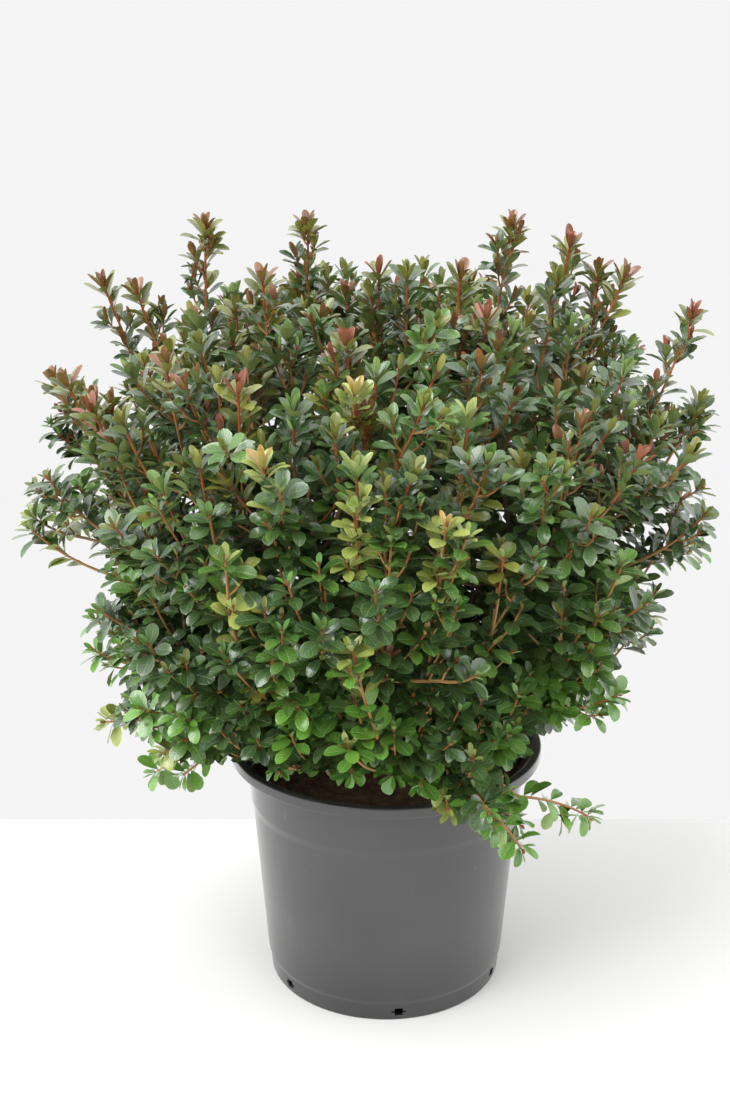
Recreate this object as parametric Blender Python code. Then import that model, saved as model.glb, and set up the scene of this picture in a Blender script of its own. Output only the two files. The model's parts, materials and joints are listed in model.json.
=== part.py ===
"""An azalea shrub in its nursery pot: the pot and its compost, a short stem, the main boughs
and, at each bough's tip, one mass of foliage. Metres, +Z up, the shrub's front towards -Y,
the origin at the centre of the pot's flat underside."""

import math
import random

import bmesh
import bpy
from mathutils import Vector

# Clearances
GAP = 0.0003  # between pieces that meet
SPACE_MARGIN = 0.0007  # how far each mass stays inside its own space
LIMB_MARGIN = 0.009  # how far a leaf stays from the surface of another limb
POT_MARGIN = 0.003  # how far leaves and twigs stay from the pot

# Pot: a thin-walled container of about 20 litres
POT_HEIGHT = 0.280
POT_SIDES = 44
RIM_RADIUS = 0.1758
RIM_DEPTH = 0.012
RIM_OVERHANG = 0.0170
RIM_WIDTH = 0.009  # across its flat top; inside, the wall slopes in under it
RIM_ROUNDING = 0.0025
COLLAR_DEPTH = 0.066
COLLAR_STEP = 0.0018
FOOT_RADIUS = 0.1330
FOOT_HEIGHT = 0.025
FOOT_STEP = 0.0016
FOOT_CHAMFER = 0.003
WALL = 0.0028
WALL_STEP = 0.0015  # height of the slope where the wall steps in or out
FLOOR = 0.0035
SLOTS = 6
SLOT_WIDTH = 0.016
SLOT_HEIGHT = 0.009
SLOT_FOOT = 0.006
SLOT_AZIMUTH = -24.0

# Compost: level round the stem, falling a little towards the wall
COMPOST_TOP = 0.259
COMPOST_EDGE = 0.254
COMPOST_LEVEL_RADIUS = 0.050

# Stem: root flare, neck and a head with a flat for each bough
HEAD_CENTRE = Vector((0.003, -0.002, 0.285))
HEAD_RADIUS = 0.0222
HEAD_FLAT = 0.0006  # how far a flat runs past the bough that stands on it
HEAD_FOOT = Vector((0.0, 0.0, -0.012))  # from the head's centre to where it leaves the neck
NECK_RADIUS = 0.0165
ROOT_SWELLING = 0.16  # every other side of the foot swells this much into a root
STEM_PROFILE = ((0.031, 0.0), (0.0235, 0.004), (0.0185, 0.010), (NECK_RADIUS, 0.022))
STEM_SIDES = 8

# Crown: reach is measured from the heart, to the tips of the outermost leaves
HEART = Vector((0.0, 0.0, 0.300))
LOW_REACH = 0.290
HIGH_REACH = 0.520
REACH_RISES_FROM = 6.0  # degrees of elevation
REACH_RISES_OVER = 48.0
REACH_LEAN = 0.07  # low down, the crown is this much fuller on its left than on its right

# Boughs, in tiers: name, how many, first azimuth, elevation of the mass, start of the bough
TIERS = (
    ("low", 7, -57.0, 5.0, 14.0),
    ("middle", 6, -92.0, 31.0, 41.0),
    ("upper", 4, -122.0, 57.0, 64.0),
    ("top", 1, 0.0, 89.0, 89.0),
)
BOUGH_BASE_RADIUS = 0.0045
BOUGH_TIP_RADIUS = 0.0029
BOUGH_SIDES = 6
BOUGH_STEPS = 4
BOUGH_SHARE = 0.42  # of the reach, where the bough ends and its mass begins
BOUGH_BEND = 0.45  # of a bough's length, along which it keeps its first direction
MASS_STEM_TIP_RADIUS = 0.0020
MASS_STEM_SIDES = 4

# Twigs
TWIGS = 120
TWIG_ROOT_RADIUS = 0.0026
TWIG_TIP_RADIUS = 0.0020
TWIG_STEPS = 2
TWIG_JITTER = 0.04
TWIG_ANGLE = 42.0
TWIG_FIRST = 0.30  # of the mass's stem, where its lowest twig leaves it, and the last one
TWIG_LAST = 0.80
TWIG_UPTURN = 0.55  # how far a twig's end turns from its run towards upright
TWIG_DROOP = 0.90  # the same, downwards, for the lowest ones
DROOP_BELOW = 0.350  # height under which twigs begin to turn down
DROOP_OVER = 0.080
TIP_MARGIN = 0.029  # how far a twig's tip stays inside its mass's space
LOWEST_ALL_ROUND = -5.0  # degrees of elevation
LOWEST_IN_FRONT = 9.0
FRONT_GAP_AZIMUTH = -105.0
FRONT_GAP_WIDTH = 55.0

# Leaves: larger than life, because each stands for several
LEAF_LENGTH = 0.064
LEAF_WIDTH = 0.037
LEAF_WIDEST = 0.60
LEAF_RIDGE = 0.45  # of the length, where the blade is thickest
LEAF_THICKNESS = 0.0018
LEAF_ROOT = 0.0008  # how far behind the twig's middle a leaf is rooted
LEAF_ANGLE = 56.0
LEAF_ANGLE_VARIES = 7.0
TIP_LEAF_ANGLE = 4.0
LEAF_TURN_VARIES = 9.0
LEAF_SIZES = (0.88, 1.05)
LEAF_TURN = 120.0  # a leaf leaves its twig by the middle of one of its three sides
LEAF_STEP = 0.0070  # between one leaf and the next down the twig
LEAF_LONG_STEP = 0.0210  # the same, below the rosette
ROSETTE = 3
LEADER_LEAVES = 6

# Core of each mass: what leaves and twigs stand out of
CORE_INNER = 0.54
CORE_OUTER = 0.80
CORE_MARGIN = 0.004
CORE_ROUGHNESS = 0.07
CORE_LOWEST = POT_HEIGHT + 0.012
CORE_WIDEST = 0.4  # more than any core's radius

# Leaders: long shoots that stand out of the crown, by the place of their furthest leaf tip
LEADERS = {
    "tall_left": (-0.181, -0.050, 0.871),
    "tall_middle": (-0.082, 0.040, 0.862),
    "tall_right": (0.125, -0.030, 0.869),
    "slim_right": (0.198, 0.060, 0.841),
    "right_shoulder": (0.257, 0.030, 0.804),
    "arching_right": (0.317, -0.060, 0.782),
    "right_arm": (0.334, -0.020, 0.665),
    "pair_left_front": (-0.305, 0.030, 0.800),
    "pair_left_back": (-0.282, 0.100, 0.778),
    "left_shoulder": (-0.364, 0.020, 0.698),
    "left_arm": (-0.404, 0.050, 0.569),
    "far_left": (-0.388, -0.060, 0.557),
    "far_right": (0.365, 0.020, 0.558),
    "front_erect": (-0.060, -0.310, 0.690),
    "low_left": (-0.328, -0.030, 0.313),
    "low_left_front": (-0.272, -0.080, 0.272),
    "low_right": (0.241, -0.120, 0.257),
    "over_the_rim": (0.119, -0.212, 0.224),
    "back_left": (-0.150, 0.330, 0.760),
    "back_right": (0.190, 0.300, 0.740),
    "back_low": (0.060, 0.365, 0.430),
}

MATERIALS = {
    "pot": ((0.018, 0.019, 0.021), 0.34),
    "compost": ((0.040, 0.022, 0.012), 0.95),
    "bark": ((0.190, 0.095, 0.045), 0.80),
    "foliage": ((0.035, 0.075, 0.022), 0.42),
}


def unit(azimuth, elevation):
    """The direction at these angles, in degrees: azimuth 0 is +X, 90 is +Y."""
    a, e = math.radians(azimuth), math.radians(elevation)
    return Vector((math.cos(a) * math.cos(e), math.sin(a) * math.cos(e), math.sin(e)))


def smooth(t):
    t = min(1.0, max(0.0, t))
    return t * t * (3.0 - 2.0 * t)


def elevation_of(direction):
    return math.degrees(math.asin(max(-1.0, min(1.0, direction.z / direction.length))))


def azimuth_of(direction):
    return math.degrees(math.atan2(direction.y, direction.x))


def reach(direction):
    """How far the crown's outline is from its heart in this direction."""
    rise = smooth((elevation_of(direction) - REACH_RISES_FROM) / REACH_RISES_OVER)
    level = LOW_REACH + (HIGH_REACH - LOW_REACH) * rise
    sideways = direction.x / direction.length
    return level * (1.0 - REACH_LEAN * sideways * (1.0 - rise))


def lowest(azimuth):
    """The lowest elevation of a twig, which is higher in front, where the compost shows."""
    away = abs((azimuth - FRONT_GAP_AZIMUTH + 180.0) % 360.0 - 180.0)
    front = smooth(1.0 - away / FRONT_GAP_WIDTH)
    return LOWEST_ALL_ROUND + (LOWEST_IN_FRONT - LOWEST_ALL_ROUND) * front


def spread(count):
    """Directions spread evenly over the crown, from the zenith down, by the golden angle."""
    floor = math.sin(math.radians(LOWEST_ALL_ROUND))
    for i in range(count):
        height = 1.0 - (i + 0.5) / count * (1.0 - floor)
        direction = unit(i * 137.50776, math.degrees(math.asin(height)))
        if elevation_of(direction) >= lowest(azimuth_of(direction)):
            yield direction


def bend(start, middle, end, steps):
    """Points along the curve that leaves start towards middle and arrives at end."""
    points = []
    for i in range(steps + 1):
        t = i / steps
        points.append(start * (1 - t) ** 2 + middle * 2 * t * (1 - t) + end * t**2)
    return points


def wall_radius(height):
    """The pot's outer radius, without its rim."""
    top = RIM_RADIUS - RIM_OVERHANG
    slope = (top - COLLAR_STEP - FOOT_RADIUS - FOOT_STEP) / POT_HEIGHT
    radius = FOOT_RADIUS + FOOT_STEP + slope * height
    if height < FOOT_HEIGHT:
        return radius - FOOT_STEP
    return radius + COLLAR_STEP * (height > POT_HEIGHT - COLLAR_DEPTH)


# ------------------------------------------------------------------ meshes and objects


def new_object(name, mesh, material, smooth_below=None):
    obj = bpy.data.objects.new(name, mesh)
    bpy.context.scene.collection.objects.link(obj)
    obj.data.materials.clear()
    obj.data.materials.append(material)
    if smooth_below:
        obj.data.shade_smooth()
        obj.data.set_sharp_from_angle(angle=math.radians(smooth_below))
    return obj


def to_mesh(bm, name):
    bmesh.ops.recalc_face_normals(bm, faces=bm.faces)
    mesh = bpy.data.meshes.new(name)
    bm.to_mesh(mesh)
    bm.free()
    return mesh


def turned(name, profile):
    """A closed profile of (radius, height) from axis to axis, turned about Z."""
    bm = bmesh.new()
    ring = [bm.verts.new((radius, 0.0, height)) for radius, height in profile]
    edges = [bm.edges.new(pair) for pair in zip(ring, ring[1:])]
    bmesh.ops.spin(
        bm, geom=ring + edges, axis=(0, 0, 1), cent=(0, 0, 0), angle=math.tau, steps=POT_SIDES
    )
    bmesh.ops.remove_doubles(bm, verts=bm.verts, dist=1e-5)
    return to_mesh(bm, name)


def frames(points):
    """At each point of a path, the way along it and a way across that doesn't twist."""
    across = None
    for i in range(len(points)):
        before, after = points[max(i - 1, 0)], points[min(i + 1, len(points) - 1)]
        along = (after - before).normalized()
        across = across or along.orthogonal()
        across = (across - along * across.dot(along)).normalized()
        yield along, across


def ring(centre, along, across, radius, sides):
    """Corners of a regular polygon about the centre, square to along."""
    other = along.cross(across)
    turns = [math.tau * k / sides for k in range(sides)]
    return [centre + (across * math.cos(t) + other * math.sin(t)) * radius for t in turns]


def skinned(name, rings):
    """A closed mesh over rings of points, from the first to the last."""
    bm = bmesh.new()
    rows = [[bm.verts.new(point) for point in points] for points in rings]
    for lower, upper in zip(rows, rows[1:]):
        for k in range(len(lower)):
            n = (k + 1) % len(lower)
            bm.faces.new((lower[k], lower[n], upper[n], upper[k]))
    bm.faces.new(rows[0][::-1])
    bm.faces.new(rows[-1])
    return to_mesh(bm, name)


def tube(name, points, first_radius, last_radius, sides):
    """A tapering limb through the points, with flat ends square to its first and last steps."""
    rings = []
    for i, (point, (along, across)) in enumerate(zip(points, frames(points))):
        radius = first_radius + (last_radius - first_radius) * i / (len(points) - 1)
        rings.append(ring(point, along, across, radius, sides))
    return skinned(name, rings)


def leaf_corners(root, along, up, length):
    """Root, ridge, the two widest points and the tip of one leaf."""
    side = along.cross(up).normalized() * LEAF_WIDTH * length / LEAF_LENGTH / 2
    ridge = root + along * length * LEAF_RIDGE + up * LEAF_THICKNESS
    widest = root + along * length * LEAF_WIDEST
    return root - along * LEAF_ROOT, ridge, widest + side, widest - side, root + along * length


def leaf(name, corners):
    """A blade with a flat underside and a low ridge on top, pointed at both ends."""
    bm = bmesh.new()
    root, ridge, left, right, tip = (bm.verts.new(corner) for corner in corners)
    for face in (
        (root, ridge, left),
        (left, ridge, tip),
        (tip, ridge, right),
        (right, ridge, root),
        (root, left, right),
        (left, tip, right),
    ):
        bm.faces.new(face)
    return to_mesh(bm, name)


def baked(obj):
    """The object's mesh with its modifiers applied."""
    graph = bpy.context.evaluated_depsgraph_get()
    mesh = bpy.data.meshes.new_from_object(obj.evaluated_get(graph))
    obj.modifiers.clear()
    obj.data = mesh
    return obj


def keep_largest_body(mesh):
    """Drops loose scraps and the walls of any sealed hollow, which fills it."""
    bm = bmesh.new()
    bm.from_mesh(mesh)
    unseen = set(bm.verts)
    bodies = []
    while unseen:
        queue = [unseen.pop()]
        body = []
        while queue:
            vert = queue.pop()
            body.append(vert)
            for edge in vert.link_edges:
                other = edge.other_vert(vert)
                if other in unseen:
                    unseen.remove(other)
                    queue.append(other)
        bodies.append(body)
    bodies.sort(key=len)
    for body in bodies[:-1]:
        bmesh.ops.delete(bm, geom=body, context="VERTS")
    bm.to_mesh(mesh)
    bm.free()


def union(obj, others):
    """Joins the others to the object with one Boolean, then removes them."""
    group = bpy.data.collections.new(obj.name + "_pieces")
    bpy.context.scene.collection.children.link(group)
    for other in others:
        bpy.context.scene.collection.objects.unlink(other)
        group.objects.link(other)
    join = obj.modifiers.new("join", "BOOLEAN")
    join.operation = "UNION"
    join.operand_type = "COLLECTION"
    join.collection = group
    join.solver = "EXACT"
    baked(obj)
    for other in list(group.objects):
        bpy.data.objects.remove(other)
    bpy.data.collections.remove(group)
    keep_largest_body(obj.data)
    return obj


# ------------------------------------------------------------------ pot, compost and stem


def make_pot(material):
    rim_underside = POT_HEIGHT - RIM_DEPTH
    collar = POT_HEIGHT - COLLAR_DEPTH
    inner_top = wall_radius(rim_underside) - WALL
    profile = (
        (0.0, 0.0),
        (FOOT_RADIUS - FOOT_CHAMFER, 0.0),
        (wall_radius(FOOT_CHAMFER), FOOT_CHAMFER),
        (wall_radius(FOOT_HEIGHT - WALL_STEP), FOOT_HEIGHT - WALL_STEP),
        (wall_radius(FOOT_HEIGHT), FOOT_HEIGHT),
        (wall_radius(collar - WALL_STEP), collar - WALL_STEP),
        (wall_radius(collar + WALL_STEP), collar + WALL_STEP),
        (wall_radius(rim_underside), rim_underside),
        (RIM_RADIUS, rim_underside + WALL_STEP / 2),
        (RIM_RADIUS, POT_HEIGHT - RIM_ROUNDING),
        (RIM_RADIUS - RIM_ROUNDING, POT_HEIGHT),
        (RIM_RADIUS - RIM_WIDTH, POT_HEIGHT),
        (inner_top, rim_underside),
        (FOOT_RADIUS - WALL, FLOOR),
        (0.0, FLOOR),
    )
    pot = new_object("pot", turned("pot", profile), material)
    cutters = []
    for i in range(SLOTS):
        azimuth = math.radians(SLOT_AZIMUTH + i * 360.0 / SLOTS)
        bpy.ops.mesh.primitive_cube_add(size=1.0)
        cutter = bpy.context.object
        cutter.scale = (WALL * 5, SLOT_WIDTH, SLOT_HEIGHT)
        cutter.rotation_euler.z = azimuth
        across = FOOT_RADIUS - WALL / 2
        middle = SLOT_FOOT + SLOT_HEIGHT / 2
        cutter.location = (across * math.cos(azimuth), across * math.sin(azimuth), middle)
        cutters.append(cutter)
    for cutter in cutters:
        cut = pot.modifiers.new("slot", "BOOLEAN")
        cut.operation = "DIFFERENCE"
        cut.object = cutter
    baked(pot)
    for cutter in cutters:
        bpy.data.objects.remove(cutter)
    pot.data.shade_smooth()
    pot.data.set_sharp_from_angle(angle=math.radians(25))


def make_compost(material):
    """Fills the pot, clear of its wall and floor."""
    inner_top = wall_radius(POT_HEIGHT - RIM_DEPTH) - WALL
    inner_foot = FOOT_RADIUS - WALL
    slope = (inner_top - inner_foot) / (POT_HEIGHT - FLOOR)
    foot = FLOOR + GAP
    profile = (
        (0.0, foot),
        (inner_foot + slope * GAP - GAP * 2, foot),
        (inner_foot + slope * (COMPOST_EDGE - FLOOR) - GAP * 2, COMPOST_EDGE),
        (COMPOST_LEVEL_RADIUS, COMPOST_TOP),
        (0.0, COMPOST_TOP),
    )
    new_object("compost", turned("compost", profile), material, smooth_below=25)


def make_stem(boughs, material):
    """Root flare and neck, with a head whose flats each carry one bough."""
    up, ahead = Vector((0.0, 0.0, 1.0)), Vector((1.0, 0.0, 0.0))
    foot = Vector((HEAD_CENTRE.x, HEAD_CENTRE.y, COMPOST_TOP + GAP))
    rings = [ring(foot + up * height, up, ahead, r, STEM_SIDES) for r, height in STEM_PROFILE]
    for k in range(0, STEM_SIDES, 2):
        rings[0][k] += (rings[0][k] - foot) * ROOT_SWELLING
    stem = new_object("stem", skinned("stem", rings), material)

    corners = ring(HEAD_CENTRE + HEAD_FOOT, up, ahead, NECK_RADIUS - HEAD_FLAT, STEM_SIDES)
    for bough in boughs:
        start = bough["start"]
        across = start.orthogonal().normalized()
        flat = BOUGH_BASE_RADIUS + HEAD_FLAT
        corners += ring(HEAD_CENTRE + start * HEAD_RADIUS, start, across, flat, BOUGH_SIDES)
    bm = bmesh.new()
    for corner in corners:
        bm.verts.new(corner)
    hull = bmesh.ops.convex_hull(bm, input=bm.verts)
    inside = [v for v in hull["geom_interior"] if isinstance(v, bmesh.types.BMVert)]
    bmesh.ops.delete(bm, geom=inside, context="VERTS")
    union(stem, [new_object("head", to_mesh(bm, "head"), material)])


# ------------------------------------------------------------------ crown


def plan_boughs():
    """Each bough's direction, path and the stem of its mass."""
    boughs = []
    for tier, count, first, elevation, start in TIERS:
        for i in range(count):
            azimuth = first + i * 360.0 / count
            name = tier if count == 1 else f"{tier}_{i + 1}"
            direction, first_way = unit(azimuth, elevation), unit(azimuth, start)
            boughs.append({"name": name, "direction": direction, "start": first_way})
    for bough in boughs:
        foot = HEAD_CENTRE + bough["start"] * (HEAD_RADIUS + GAP)
        span = reach(bough["direction"])
        end = HEART + bough["direction"] * span * BOUGH_SHARE
        tip = HEART + bough["direction"] * (span - LEAF_LENGTH)
        bough["path"] = onward_bend(foot, bough["start"], end)
        onward = (bough["path"][-1] - bough["path"][-2]).normalized()
        bough["stem"] = onward_bend(end + onward * GAP, onward, tip)
    return boughs


def onward_bend(start, along, end):
    """A curve from start, where it runs along the given way, to end."""
    middle = start + along * (end - start).length * BOUGH_BEND
    return bend(start, middle, end, BOUGH_STEPS)


class Space:
    """The room of one mass: nearer to its bough's direction than to any other's, outside the
    pot, above the compost and clear of every limb but the mass's own stem."""

    def __init__(self, own, boughs):
        self.planes = []
        self.limbs = []
        for other in boughs:
            self.limbs.append((other["path"], BOUGH_BASE_RADIUS))
            if other is not own:
                self.planes.append((other["direction"] - own["direction"]).normalized())
                self.limbs.append((other["stem"], BOUGH_TIP_RADIUS))

    def moved_in(self, point, margin):
        """The point, moved until it lies this far inside the space's sides."""
        for _ in range(2):
            for plane in self.planes:
                over = (point - HEART).dot(plane) + margin
                if over > 0.0:
                    point = point - plane * over
        return point

    def holds(self, point, margin):
        if any((point - HEART).dot(plane) > -margin for plane in self.planes):
            return False
        away = math.hypot(point.x, point.y)
        if point.z < POT_HEIGHT + POT_MARGIN and away < RIM_RADIUS + POT_MARGIN:
            return False
        return point.z > POT_MARGIN

    def near_limb(self, point, margin):
        for path, radius in self.limbs:
            for a, b in zip(path, path[1:]):
                t = max(0.0, min(1.0, (point - a).dot(b - a) / (b - a).length_squared))
                if (point - a.lerp(b, t)).length < radius + margin:
                    return True
        return False


def leaf_fits(space, corners):
    root, ridge, left, right, tip = corners
    tests = [left, right, tip, root, ridge, root.lerp(tip, 0.3)]
    tests += [left.lerp(tip, 0.5), right.lerp(tip, 0.5), root.lerp(left, 0.5), root.lerp(right, 0.5)]
    held = all(space.holds(point, SPACE_MARGIN) for point in tests)
    return held and not any(space.near_limb(point, LIMB_MARGIN) for point in tests)


def twig_fits(space, path):
    """Whether the twig keeps to the space from where it has left its mass's stem."""
    for a, b in zip(path, path[1:]):
        for part in (0.25, 0.5, 0.75, 1.0):
            point = a.lerp(b, part)
            if (point - path[0]).length < BOUGH_TIP_RADIUS * 3:
                continue
            if not space.holds(point, TWIG_ROOT_RADIUS + SPACE_MARGIN):
                return False
            if space.near_limb(point, TWIG_ROOT_RADIUS + GAP * 3):
                return False
    return True


def dress(space, name, path, count, chance, material):
    """Leaves for one twig: one along its tip, and the rest turned round it below."""
    leaves = []
    along = (path[-1] - path[-2]).normalized()
    across = list(frames(path))[-1][1]
    other = along.cross(across)
    first_turn = LEAF_TURN / 2 + LEAF_TURN * chance.randrange(3)
    root = path[-1] - along * TWIG_TIP_RADIUS * 1.5
    down = 0.0
    for i in range(count + 1):
        turn = first_turn + i * LEAF_TURN + chance.uniform(-1.0, 1.0) * LEAF_TURN_VARIES
        turn = math.radians(turn)
        outward = across * math.cos(turn) + other * math.sin(turn)
        angle = LEAF_ANGLE + chance.uniform(-1.0, 1.0) * LEAF_ANGLE_VARIES
        angle = math.radians(angle if i else TIP_LEAF_ANGLE)
        ahead = along * math.cos(angle) + outward * math.sin(angle)
        up = along * math.sin(angle) - outward * math.cos(angle)
        length = LEAF_LENGTH * (chance.uniform(*LEAF_SIZES) if i else 1.0)
        corners = leaf_corners(root - along * down, ahead, up, length)
        if leaf_fits(space, corners):
            leaves.append(new_object(f"{name}_leaf_{i}", leaf(name, corners), material))
        if i:
            down += LEAF_STEP if i < ROSETTE else LEAF_LONG_STEP
    return leaves


def twig_path(bough, tip):
    """From the mass's stem to the tip, leaving the stem at about TWIG_ANGLE."""
    stem = bough["stem"]
    foot, end = stem[0], stem[-1]
    axis = (end - foot).normalized()
    ahead = (tip - foot).dot(axis)
    aside = (tip - foot - axis * ahead).length
    share = (ahead - aside / math.tan(math.radians(TWIG_ANGLE))) / (end - foot).length
    share = max(TWIG_FIRST, min(TWIG_LAST, share)) * BOUGH_STEPS
    lower = min(int(share), BOUGH_STEPS - 1)
    root = stem[lower].lerp(stem[lower + 1], share - lower)
    run = tip - root
    low = smooth((DROOP_BELOW - tip.z) / DROOP_OVER)
    turn = TWIG_UPTURN * (1.0 - low) - TWIG_DROOP * low
    onward = (run.normalized() + Vector((0.0, 0.0, turn))).normalized()
    return bend(root, tip - onward * run.length / 2, tip, TWIG_STEPS)


def make_core(space, bough, chance, material):
    """A lump that fills the middle of the mass's space between two shares of the reach."""
    centre = HEART + bough["direction"] * reach(bough["direction"]) * (CORE_INNER + CORE_OUTER) / 2

    def in_core(point):
        away = (point - HEART).length / reach(point - HEART)
        middling = CORE_INNER < away < CORE_OUTER and point.z > CORE_LOWEST
        return middling and space.holds(point, CORE_MARGIN)

    bm = bmesh.new()
    bmesh.ops.create_icosphere(bm, subdivisions=2, radius=1.0)
    for vert in bm.verts:
        low, high = 0.0, CORE_WIDEST
        for _ in range(14):  # halvings, which find the wall of the space to 0.03 mm
            half = (low + high) / 2
            low, high = (half, high) if in_core(centre + vert.co * half) else (low, half)
        vert.co = centre + vert.co * low * chance.uniform(1.0 - CORE_ROUGHNESS, 1.0)
    return new_object("core", to_mesh(bm, "core"), material)


def make_mass(bough, boughs, tips, material, chance):
    """One mass: its stem, core, twigs and leaves, joined into one body."""
    space = Space(bough, boughs)
    name = bough["name"] + "_foliage"
    stem_mesh = tube(name, bough["stem"], BOUGH_TIP_RADIUS, MASS_STEM_TIP_RADIUS, MASS_STEM_SIDES)
    mass = new_object(name, stem_mesh, material)
    pieces = [make_core(space, bough, chance, material)]
    pieces += dress(space, name + "_stem", bough["stem"], ROSETTE, chance, material)
    for number, (tip, leaves) in enumerate(tips):
        path = twig_path(bough, tip)
        if not twig_fits(space, path):
            continue
        label = f"{name}_{number}"
        twig = tube(label, path, TWIG_ROOT_RADIUS, TWIG_TIP_RADIUS, 3)
        pieces.append(new_object(label, twig, material))
        pieces += dress(space, label, path, leaves, chance, material)
    union(mass, pieces)
    mass.data.shade_smooth()
    mass.data.set_sharp_from_angle(angle=math.radians(20))
    return mass


def leader_tip(bough, place):
    """Where a leader's twig ends, for the leaf along its tip to end at the place."""
    tip = place
    for _ in range(3):
        path = twig_path(bough, tip)
        tip = place - (path[-1] - path[-2]).normalized() * (LEAF_LENGTH - TWIG_TIP_RADIUS * 2)
    return tip


def share_out_tips(boughs, chance):
    """Each bough's list of (twig tip, number of leaves), with every tip in its own space."""

    def owner(direction):
        return max(boughs, key=lambda bough: bough["direction"].dot(direction))

    tips = {bough["name"]: [] for bough in boughs}
    leaders = [Vector(place) for place in LEADERS.values()]
    for direction in spread(TWIGS):
        span = reach(direction) * chance.uniform(1.0 - TWIG_JITTER, 1.0) - LEAF_LENGTH * 0.85
        own = owner(direction)
        tip = Space(own, boughs).moved_in(HEART + direction * span, TIP_MARGIN)
        near_stem = (tip - own["stem"][-1]).length < LEAF_LENGTH * 0.7
        near_leader = any((tip - leader).length < LEAF_LENGTH * 1.1 for leader in leaders)
        if not near_stem and not near_leader:
            tips[own["name"]].append((tip, ROSETTE))
    for leader in leaders:
        own = owner((leader - HEART).normalized())
        tips[own["name"]].append((leader_tip(own, leader), LEADER_LEAVES))
    return tips


def main():
    for obj in list(bpy.data.objects):
        bpy.data.objects.remove(obj)
    materials = {}
    for name, (colour, roughness) in MATERIALS.items():
        material = bpy.data.materials.new(name)
        material.use_nodes = True
        shader = material.node_tree.nodes["Principled BSDF"]
        shader.inputs["Base Color"].default_value = (*colour, 1.0)
        shader.inputs["Roughness"].default_value = roughness
        shader.inputs["Metallic"].default_value = 0.0
        materials[name] = material

    chance = random.Random(7)
    boughs = plan_boughs()
    make_pot(materials["pot"])
    make_compost(materials["compost"])
    make_stem(boughs, materials["bark"])
    tips = share_out_tips(boughs, chance)
    for bough in boughs:
        name = bough["name"] + "_bough"
        mesh = tube(name, bough["path"], BOUGH_BASE_RADIUS, BOUGH_TIP_RADIUS, BOUGH_SIDES)
        new_object(name, mesh, materials["bark"], smooth_below=70)
        make_mass(bough, boughs, tips[bough["name"]], materials["foliage"], chance)


main()
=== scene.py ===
# %% [markdown]
# # A potted evergreen azalea
#
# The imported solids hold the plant's outline: a pot, its compost, a short stem, boughs, and one
# coarse mass of foliage on each bough. This script dresses them. It grows some eight hundred
# shoots from the same boughs by the same rule, hangs some thirty thousand true-sized leaves on
# them, and gives the pot, the compost and the bark their real surfaces.
#
# Each step starts with a note on what the piece is, how it could be made and why this way won.

import json
import math
import random

import bmesh
import bpy
import numpy as np
from mathutils import Matrix, Vector, noise

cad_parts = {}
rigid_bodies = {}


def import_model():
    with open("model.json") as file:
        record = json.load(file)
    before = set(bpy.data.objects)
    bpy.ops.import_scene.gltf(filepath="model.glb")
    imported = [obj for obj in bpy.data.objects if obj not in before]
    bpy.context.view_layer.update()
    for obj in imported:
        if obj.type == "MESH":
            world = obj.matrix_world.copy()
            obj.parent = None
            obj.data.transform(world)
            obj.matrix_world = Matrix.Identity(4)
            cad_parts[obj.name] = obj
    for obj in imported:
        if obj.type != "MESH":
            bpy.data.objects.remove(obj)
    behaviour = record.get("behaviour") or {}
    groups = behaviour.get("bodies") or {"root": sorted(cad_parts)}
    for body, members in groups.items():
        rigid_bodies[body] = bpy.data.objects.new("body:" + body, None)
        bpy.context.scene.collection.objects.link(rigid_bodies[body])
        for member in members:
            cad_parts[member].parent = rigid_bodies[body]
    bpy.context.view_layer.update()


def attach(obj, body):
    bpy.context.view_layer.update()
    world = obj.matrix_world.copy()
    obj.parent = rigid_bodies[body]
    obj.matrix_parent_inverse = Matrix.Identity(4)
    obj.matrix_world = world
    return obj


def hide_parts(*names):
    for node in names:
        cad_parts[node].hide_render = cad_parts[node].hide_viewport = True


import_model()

# %% [markdown]
# ## Camera
#
# The pot's rim and its foot show as two ellipses of different flatness, and that fixes both how
# high the camera stands and how far it looks down. It is level from side to side, with a lens of
# about 50 mm, so upright shoots lean outwards only a little towards the top of the frame.

# %% Place the camera
CAMERA_PLACE = (-0.0233, -1.5818, 1.0010)
CAMERA_PITCH = 17.372  # degrees below level
CAMERA_LENS = 49.97


def add_object(name, data):
    """A new object in the scene."""
    obj = bpy.data.objects.new(name, data)
    bpy.context.scene.collection.objects.link(obj)
    return obj


camera = add_object("camera", bpy.data.cameras.new("camera"))
camera.data.lens = CAMERA_LENS
camera.location = CAMERA_PLACE
camera.rotation_euler = (math.radians(90.0 - CAMERA_PITCH), 0.0, 0.0)
bpy.context.scene.camera = camera
print("camera:", CAMERA_PLACE, "lens:", CAMERA_LENS)

# %% [markdown]
# ## Expressions for node trees
#
# A material's pattern is arithmetic on coordinates. Placing each Math node by hand hides that, so
# a small class wraps a socket and overloads the operators: `1 - mask` then adds the node itself.
# The same class serves shader trees and Geometry Nodes trees.


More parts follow.
